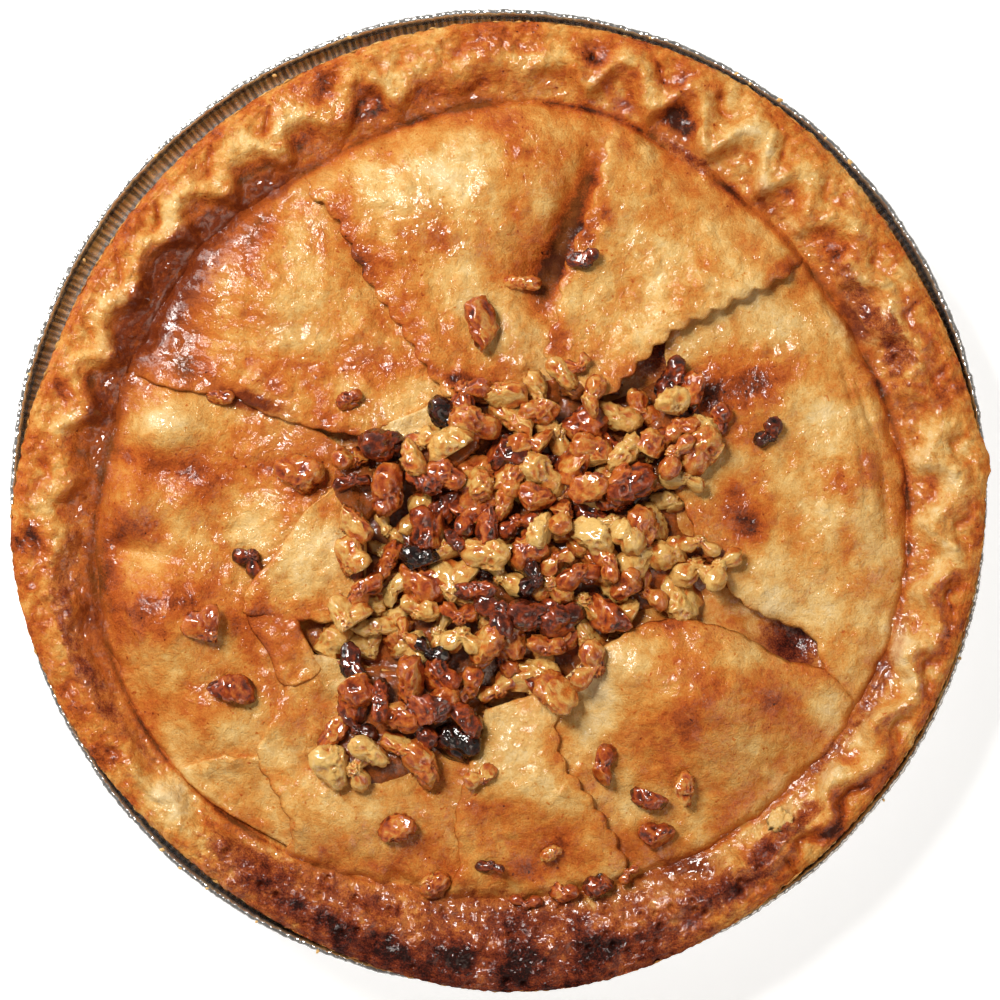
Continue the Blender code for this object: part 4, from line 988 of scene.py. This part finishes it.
def makeLeaf(name, material):
    leaf = leaves[name]
    width = max(np.hypot(*(np.array(a, float) - b)) for a in leaf["first"] for b in leaf["second"][:2]) * 0.9
    length = max(smoothLine(leaf["first"])[1][-1], smoothLine(leaf["second"])[1][-1])
    cells = [max(12, int(size / leafMake["grid"])) for size in (min(width, 100), length)]
    bm = bmesh.new()
    bmesh.ops.create_grid(bm, x_segments=cells[0], y_segments=cells[1], size=0.5)
    mesh = meshFrom(bm, name)
    points = readPoints(mesh)
    u, v = points[:, 0] + 0.5, points[:, 1] + 0.5
    flat, nearFirst, nearSecond, nearTip = leafPlan(leaf, u, v)
    x, y = flat[:, 0], flat[:, 1]
    reach = leafMake["liftReach"]
    grow = easeStep(0.0, 0.16, v) if leaf["crease"] else 1.0
    lifts = leaf["lifts"]
    lift = lifts[0] * bell(nearFirst, reach) + lifts[1] * bell(nearSecond, reach)
    lift += (lifts[2] - 0.5 * (lifts[0] + lifts[1])) * bell(nearTip, reach) * 0.8
    z = lidTop(x, y) + lift * grow + spots(x, y, leaf.get("dips", []))
    free = np.full(len(x), 99.0)  # distance to the nearest edge that isn't tucked under
    for tuck, gap in zip(leaf["tuck"], (nearFirst, nearSecond, nearTip)):
        free = np.minimum(free, gap) if tuck == 0 else free
    z -= leafMake["rounding"] * np.exp(-free / 0.7)
    degrees = np.degrees(np.arctan2(y, x))
    crease = creaseAt(degrees)
    share = (np.hypot(x, y) - crease) / (outerEdge(degrees) - crease)
    stray = 0.22 * ripples(x, y, 11, 2, 74)
    z += leafMake["above"] - leafMake["tuckDown"] * easeStep(-0.2, 0.04, share + stray)
    relief = 0.8 * ripples(x, y, 12, 2, 70) + 0.45 * ripples(x, y, 3.2, 3, 71)
    blister, chance = bubbleField(x, y, 7.0, 72)
    relief += leafMake["blister"] * (chance > 0.5) * (1 - easeStep(0.05, 0.36, blister))
    char, sugar = burntSugar(degrees, share, x, y)
    z += relief + grooves(x, y, leafCracks) + sugar
    writePoints(mesh, np.stack([x, y, z], 1) * mm)
    faceUp(mesh)
    inward = easeStep(0.0, -0.3, share)
    own = leaf["bake"] - 0.41 + spots(x, y, toast.get(name, []))
    bake = commonBakeAndShade(x, y, share) + own * (0.35 + 0.65 * inward)
    # browner near the free edges, and painted shade in the dips of the relief
    bake += 0.10 * np.exp(-free / 1.2) + 0.16 * clamp01(-relief)
    syrup = clamp01(0.85 * soaked(x, y, np.minimum(share, -0.001)))
    shine = 0.3 + 0.7 * clamp01(ripples(x, y, 15, 2, 81) + 0.2) + 0.3 * np.exp(-free / 2.0)
    shine = shine + spots(x, y, shineMarks)
    piece = finishMesh("leaf_" + name, mesh, material, leaf["node"],
                       dict(bake=bake, syrup=syrup, shine=shine, char=char))
    thicken(piece, leafMake["thick"])
    return piece


filling = dict(steps=420, rows=90, foot=(86.2, 4.1), sideTop=33.0, gap=2.4, below=4.2, lump=13.0,
               lumpRise=1.6)
# painted shade in the gaps and holes between leaves where the filling shows: x, y, half width, half height,
# turn, amount
gapShade = [(73, -36, 7, 7, 0, 0.9), (42, 38, 10, 7, 20, 0.6), (-44, -38, 9, 8, 0, 0.4)]


def makeFilling(material):
    footR, footZ = filling["foot"]
    rings = [("centre", 0.0), ("side", 0.0), ("side", 1.0)]
    rings += [("top", s) for s in np.linspace(1.0, 0.04, filling["rows"])] + [("pole", 0.0)]
    mesh, ring, degrees = rolledRings("filling", len(rings), filling["steps"], (0, len(rings) - 1))
    kinds = np.array([kind for kind, _ in rings])[ring]
    value = np.array([v for _, v in rings])[ring]
    rim = creaseAt(degrees) - filling["gap"]
    r = np.where(kinds == "side", footR + (rim - 1.0 - footR) * value, rim * value)
    r = np.where((kinds == "centre") | (kinds == "pole"), 0.0, r)
    x, y = r * np.cos(np.radians(degrees)), r * np.sin(np.radians(degrees))
    lump, chance = bubbleField(x, y, filling["lump"], 90)
    lumps = filling["lumpRise"] * (1 - easeStep(0.15, 0.6, lump)) * (0.3 + 0.7 * chance)
    top = lidTop(x, y) - filling["below"] + lumps + 0.3 * ripples(x, y, 4, 3, 91)
    top += spots(x, y, leaves["back"]["dips"])
    side = footZ + (filling["sideTop"] - footZ) * value
    z = np.where(kinds == "centre", footZ, np.where(kinds == "side", side, top))
    writePoints(mesh, np.stack([x, y, z], 1) * mm)
    faceOutward(mesh)
    # painted shade in the gaps, laid on through both the bake and the burnt colour
    dark, even = spots(x, y, gapShade), np.ones(len(x))
    bake = 0.3 + 0.2 * chance + 0.3 * ripples(x, y, 5, 3, 92) + dark
    finishMesh("cookedFilling", mesh, material, "apple_filling",
               dict(bake=bake, syrup=0.22 * even, shine=even, char=dark))
    print("filling laid in")


walnut = dict(
    shapes=28, fine=4, length=(0.38, 0.8), bend=0.3, lobes=(2, 3, 3, 4), lobeSize=(0.27, 0.4), smooth=12,
    wrinkle=0.07, grit=0.035, cuts=(0, 1, 1, 2), cutDepth=(0.2, 0.32), wide=(0.8, 1.05), flat=(0.68, 0.9),
    caramelShade=0.5)


def blobReach(ways, centre, radius):  # how far each way runs from the middle before it leaves one lobe
    along = ways @ centre
    inside = along ** 2 - centre @ centre + radius ** 2
    return np.where(inside > 0, along + np.sqrt(np.maximum(inside, 0.0)), 0.0).clip(0.02)


def walnutShape(seed):  # one chopped piece about a unit long: bent row of lobes, cut faces, wrinkled skin
    chance = random.Random(seed)
    bm = bmesh.new()
    bmesh.ops.create_icosphere(bm, subdivisions=walnut["fine"], radius=1.0)
    ways = np.array([v.co.normalized()[:] for v in bm.verts])
    length, bend = chance.uniform(*walnut["length"]), chance.uniform(-walnut["bend"], walnut["bend"])
    lobes, smooth = chance.choice(walnut["lobes"]), walnut["smooth"]
    reach = np.full(len(ways), 0.21 ** smooth)
    for k in range(lobes):
        t = 2.0 * k / (lobes - 1) - 1.0
        centre = np.array([0.5 * length * t + chance.uniform(-0.06, 0.06),
                           bend * t * t + chance.uniform(-0.12, 0.12), chance.uniform(-0.1, 0.14)])
        reach += blobReach(ways, centre, chance.uniform(*walnut["lobeSize"])) ** smooth
    reach = reach ** (1 / smooth)
    offset = Vector((seed * 3.7, seed * 1.3, 5.0))
    wrinkle = np.array([1 - 3.2 * abs(noise.noise(Vector(n) * 2.3 + offset)) for n in ways])
    grit = np.array([noise.noise(Vector(n) * 6.0 + offset) for n in ways])
    reach = reach + walnut["wrinkle"] * wrinkle + walnut["grit"] * grit
    points = ways * reach[:, None]
    flesh = np.zeros(len(ways))
    for _ in range(chance.choice(walnut["cuts"])):
        way = np.array([chance.uniform(-1, 1), chance.uniform(-1, 1), chance.uniform(-0.3, 1)])
        way /= np.linalg.norm(way)
        over = np.maximum(points @ way - chance.uniform(*walnut["cutDepth"]), 0.0)
        points -= (0.8 * over)[:, None] * way
        flesh = np.maximum(flesh, easeStep(0.0, 0.05, over))
    points *= (1.0, chance.uniform(*walnut["wide"]), chance.uniform(*walnut["flat"]))
    points -= (points.max(0) + points.min(0)) / 2
    points /= max(points[:, 0].max() - points[:, 0].min(), points[:, 1].max() - points[:, 1].min())
    skin = bm.verts.layers.float.new("tone")
    for vert, point, cutFace, groove in zip(bm.verts, points, flesh, wrinkle):
        vert.co = point
        # painted shade in the grooves and painted light on the ridges of the skin; cut faces show the paler
        # flesh
        vert[skin] = -0.15 * cutFace - 0.2 * max(groove, -0.8)
    return meshFrom(bm, f"walnutShape{seed}")


def joinedNuts(name, placed, material, node=None):  # each row: shape, place, own tone
    bm = bmesh.new()
    done = 0
    for shape, matrix, tone in placed:
        bm.from_mesh(shape)
        bm.verts.ensure_lookup_table()
        own = bm.verts[done:]
        done = len(bm.verts)
        bmesh.ops.transform(bm, matrix=matrix, verts=own)
        layer = bm.verts.layers.float["tone"]
        middle, reach = matrix.translation.z, 0.3 * matrix.median_scale
        for vert in own:  # the lower half of each piece is darker: caramel run down, and painted shade under it
            vert[layer] += tone + walnut["caramelShade"] * min(max((middle - vert.co.z) / reach + 0.25, 0.0), 1.0)
    return finishMesh(name, meshFrom(bm, name), material, node)


def pieceMatrix(x, y, z, size, turn, tilt):
    spin = Matrix.Rotation(turn, 4, "Z") @ Matrix.Rotation(tilt[0], 4, "X") @ Matrix.Rotation(tilt[1], 4, "Y")
    return Matrix.Translation(Vector((x, y, z)) * mm) @ spin @ Matrix.Scale(size * mm, 4)


heap = dict(
    centre=(10, -14), tries=330, guesses=16, sizes=(9.6, 14.4), wide=0.3, tall=0.25, sink=0.9, top=55.2,
    mound=6.5, worst=5.0, coreRise=4, coreReach=1.06, buried=2.6, cell=1, half=82,
    outline=[
        (0, 50), (10, 38), (24, 40), (28, 48), (39, 56), (54, 58), (60, 50), (69, 43), (80, 48), (90, 46),
        (107, 47), (134, 44), (149, 55), (160, 58), (172, 49), (183, 51), (191, 49), (199, 57), (206, 60),
        (215, 62), (224, 76), (232, 76), (240, 65), (247, 50), (254, 36), (272, 37), (285, 34), (301, 30),
        (319, 27), (333, 31), (345, 42)])
heapReach = ringTable(heap["outline"])
# shares of the pieces and their tones, pale to burnt
nutShares = dict(burnt=0.06, pale=0.4, paleBuried=0.55, amber=0.84)
nutTones = dict(burnt=(0.85, 1.05), pale=(0.14, 0.32), amber=(0.38, 0.58), brown=(0.64, 0.8))


def surfaceBelow(trees, x, y):
    best = 30.0 * mm
    for tree in trees:
        hit = tree.ray_cast(Vector((x * mm, y * mm, 0.2)), Vector((0, 0, -1)))[0]
        if hit and hit.z > best:
            best = hit.z
    return best / mm


def restingPlace(level, gx, gy, i, j, x, y, wide, tall):  # height at which a rounded piece comes to lie
    n = int(wide / heap["cell"]) + 1
    block = slice(i - n, i + n + 1), slice(j - n, j + n + 1)
    gap2 = (gx[block] - x) ** 2 + (gy[block] - y) ** 2
    bowl = np.where(gap2 < wide ** 2, tall * np.sqrt(np.maximum(0.0, 1 - gap2 / wide ** 2)), -99.0)
    return float((level[block] + bowl).max()) - heap["sink"], block, bowl


def nutTone(chance, buried):
    roll = chance.random()
    palest = nutShares["paleBuried" if buried else "pale"]
    kinds = (("burnt", nutShares["burnt"]), ("pale", palest), ("amber", nutShares["amber"]), ("brown", 1.0))
    kind = next(kind for kind, share in kinds if roll < share)
    return chance.uniform(*nutTones[kind])


def makeHeap(material, coreMaterial, shapes, trees):
    cx, cy = heap["centre"]
    cell, half = heap["cell"], heap["half"]
    axis = np.arange(-half, half + 1) * cell
    gx, gy = np.meshgrid(cx + axis, cy + axis, indexing="ij")
    ground = np.array([[surfaceBelow(trees, x, y) for y in cy + axis] for x in cx + axis])
    spread = np.hypot(gx - cx, gy - cy) / heapReach(np.degrees(np.arctan2(gy - cy, gx - cx)))
    core = ground + heap["coreRise"] * clamp01(1 - spread ** 3) + 0.6 * ripples(gx, gy, 5, 3, 95)
    core = np.where(spread > 0.9, core - 3.5 * easeStep(0.9, heap["coreReach"], spread), core)
    level = np.maximum(core, ground)
    chance = random.Random(11)
    placed = {"pale": [], "amber": [], "dark": []}
    for _ in range(heap["tries"]):
        size = chance.uniform(*heap["sizes"])
        wide, tall = size * heap["wide"], size * heap["tall"]
        best = None
        for _ in range(heap["guesses"]):
            turn, out = chance.uniform(0, 2 * math.pi), chance.random() ** 0.55
            reach = float(heapReach(math.degrees(turn))) * out * 0.96
            x, y = cx + reach * math.cos(turn), cy + reach * math.sin(turn)
            i, j = int(round((x - cx) / cell)) + half, int(round((y - cy) / cell)) + half
            rest, block, bowl = restingPlace(level, gx, gy, i, j, x, y, wide, tall)
            score = rest - ground[i, j] - heap["mound"] * (1 - out ** 2.2)
            if best is None or score < best[0]:
                best = (score, x, y, rest, block, bowl, rest - core[i, j])
        score, x, y, rest, block, bowl, above = best
        if rest + tall > heap["top"] or score > heap["worst"]:
            continue
        level[block] = np.maximum(level[block], np.where(bowl > -9, rest + bowl, -99))
        tone = nutTone(chance, above < heap["buried"])
        kind = "pale" if tone < 0.35 else "amber" if tone < 0.8 else "dark"
        tilt = (chance.uniform(-0.7, 0.7), chance.uniform(-0.4, 0.4))
        shape = chance.choice(shapes)
        placed[kind].append((shape, pieceMatrix(x, y, rest, size, chance.uniform(0, 6.28), tilt), tone))
    for kind, rows in placed.items():
        joinedNuts(f"walnuts_{kind}", rows, material, "walnut_heap" if kind == "amber" else None)
    print("walnut heap piled:", {kind: len(rows) for kind, rows in placed.items()})
    bm = bmesh.new()
    bmesh.ops.create_grid(bm, x_segments=2 * half, y_segments=2 * half, size=0.5)
    outside = []
    for vert in bm.verts:
        i, j = round((vert.co.x + 0.5) * 2 * half), round((vert.co.y + 0.5) * 2 * half)
        vert.co = Vector((gx[i, j], gy[i, j], core[i, j])) * mm
        if spread[i, j] > heap["coreReach"]:
            outside.append(vert)
    bmesh.ops.delete(bm, geom=outside, context="VERTS")
    mesh = meshFrom(bm, "heapSyrup")
    faceUp(mesh)
    count = len(mesh.vertices)
    # the syrup core under the nuts is coloured dark brown: caramel, and painted shade in the gaps between
    # pieces
    piece = finishMesh("heapSyrup", mesh, coreMaterial, None,
                       dict(bake=np.full(count, 0.92), syrup=np.full(count, 0.25), shine=np.ones(count)))
    thicken(piece, 1.0)


# loose pieces on the lid: tone and turn of each, placed where its node is
looseTones = dict(
    walnut_01=(0.86, 15), walnut_02=(0.6, -60), walnut_03=(0.5, 35), walnut_04=(0.55, 0),
    walnut_05=(0.6, 80), walnut_06=(0.84, 60), walnut_07=(0.62, 100), walnut_08=(0.78, -30),
    walnut_09=(0.55, 15), walnut_10=(0.72, 25), walnut_11=(0.62, 80), walnut_12=(0.68, 0),
    walnut_13=(0.42, 80), walnut_14=(0.64, 5), walnut_15=(0.6, 10), walnut_16=(0.78, 0),
    walnut_17=(0.38, 10), walnut_18=(0.52, -10), walnut_19=(0.5, 12), walnut_20=(0.4, 30),
    walnut_21=(0.62, 0), walnut_22=(0.74, 15), walnut_23=(0.55, 40), walnut_24=(0.66, -5),
    apple_chunk=(0.42, 0))


# crumbs caught on the tin's bead and a flake on the edge: angle, radius, height, length, thickness share
crumbs = [
    (61, 122.2, 36, 1.3, 0.7), (59, 121.7, 36, 0.9, 0.8), (55, 122.3, 36.1, 1.5, 0.7),
    (48, 122, 36, 1.1, 0.8), (44, 121.8, 35.9, 1.6, 0.6), (135, 121.9, 36, 1.2, 0.7),
    (165, 122.1, 36, 1, 0.8), (108, 122, 36, 1.4, 0.7), (226, 121.9, 36, 1.4, 0.7),
    (229, 122.2, 36, 1, 0.8), (233, 121.8, 36, 1.2, 0.7), (248, 122, 36, 1.1, 0.7),
    (322, 122.1, 36, 0.9, 0.8), (341, 121.9, 36, 1.1, 0.7), (311, 105.4, 42.4, 6, 0.16),
    (312, 107.2, 42.9, 3.4, 0.2), (118, 120.6, 34.6, 1.3, 0.6), (150, 120.4, 34.4, 1, 0.7),
    (72, 121.8, 36, 0.8, 0.8), (240, 122, 36, 0.8, 0.8)]


def makeCrumbs(material):
    bm = bmesh.new()
    for k, (degrees, radius, z, length, thick) in enumerate(crumbs):
        turn = math.radians(degrees)
        place = Matrix.Translation(Vector((radius * math.cos(turn), radius * math.sin(turn), z)) * mm)
        shape = Matrix.Rotation(turn * 3.1, 4, "Z") @ Matrix.Rotation(0.2, 4, "X")
        shape = shape @ Matrix.Diagonal((1.0, 0.75, thick, 1.0))
        fine = 2 if length < 2 else 3
        made = bmesh.ops.create_icosphere(bm, subdivisions=fine, radius=0.5 * length * mm)["verts"]
        for vert in made:
            vert.co *= 1.0 + 0.5 * noise.noise(vert.co / mm * 1.1 + Vector((k * 2.3, 0, 0)))
        bmesh.ops.transform(bm, matrix=place @ shape, verts=made)
    mesh = meshFrom(bm, "crumbs")
    even = np.ones(len(mesh.vertices))
    finishMesh("pastryCrumbs", mesh, material, None,
               dict(bake=0.16 * even, syrup=0 * even, shine=0.1 * even, char=0 * even))
    print("crumbs scattered:", len(crumbs))


looseSet = dict(size=0.88, lift=0.34, tilt=(0.15, -0.1))


def makeLoose(material, shapes, trees):
    for k, (node, (tone, turn)) in enumerate(looseTones.items()):
        low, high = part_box(node)
        x, y = (low.x + high.x) / 2 / mm, (low.y + high.y) / 2 / mm
        size = math.hypot(high.x - low.x, high.y - low.y) / mm * looseSet["size"]
        tall = (high.z - low.z) / mm
        ground = surfaceBelow(trees, x, y)
        rest = ground + looseSet["lift"] * tall
        place = pieceMatrix(x, y, rest, size, math.radians(turn), looseSet["tilt"])
        joinedNuts("piece_" + node, [(shapes[k % len(shapes)], place, tone)], material, node)
    print("loose pieces set down")


def build():
    makeStage()
    foil, nuts = foilMaterial(), walnutMaterial()
    rimCrust = crustMaterial("crimpedPastry", mottle=0.85, grain=1.2)
    lidCrust = crustMaterial("leafPastry", mottle=0.58)
    syrupy = crustMaterial("syrupyFilling", mottle=0.8, grain=0.5, coatRoughness=0.08)
    makeTin(foil)
    makeCrust(rimCrust)
    lid = [makeLeaf(name, lidCrust) for name in leaves]
    print("lid leaves laid:", len(lid))
    makeFilling(syrupy)
    bpy.context.view_layer.update()
    graph = bpy.context.evaluated_depsgraph_get()
    solid = lid + [bpy.data.objects["crimpedCrust"], bpy.data.objects["cookedFilling"]]
    trees = [BVHTree.FromObject(piece, graph) for piece in solid]
    shapes = [walnutShape(seed) for seed in range(walnut["shapes"])]
    makeHeap(nuts, syrupy, shapes, trees)
    makeLoose(nuts, shapes, trees)
    makeCrumbs(lidCrust)


build()
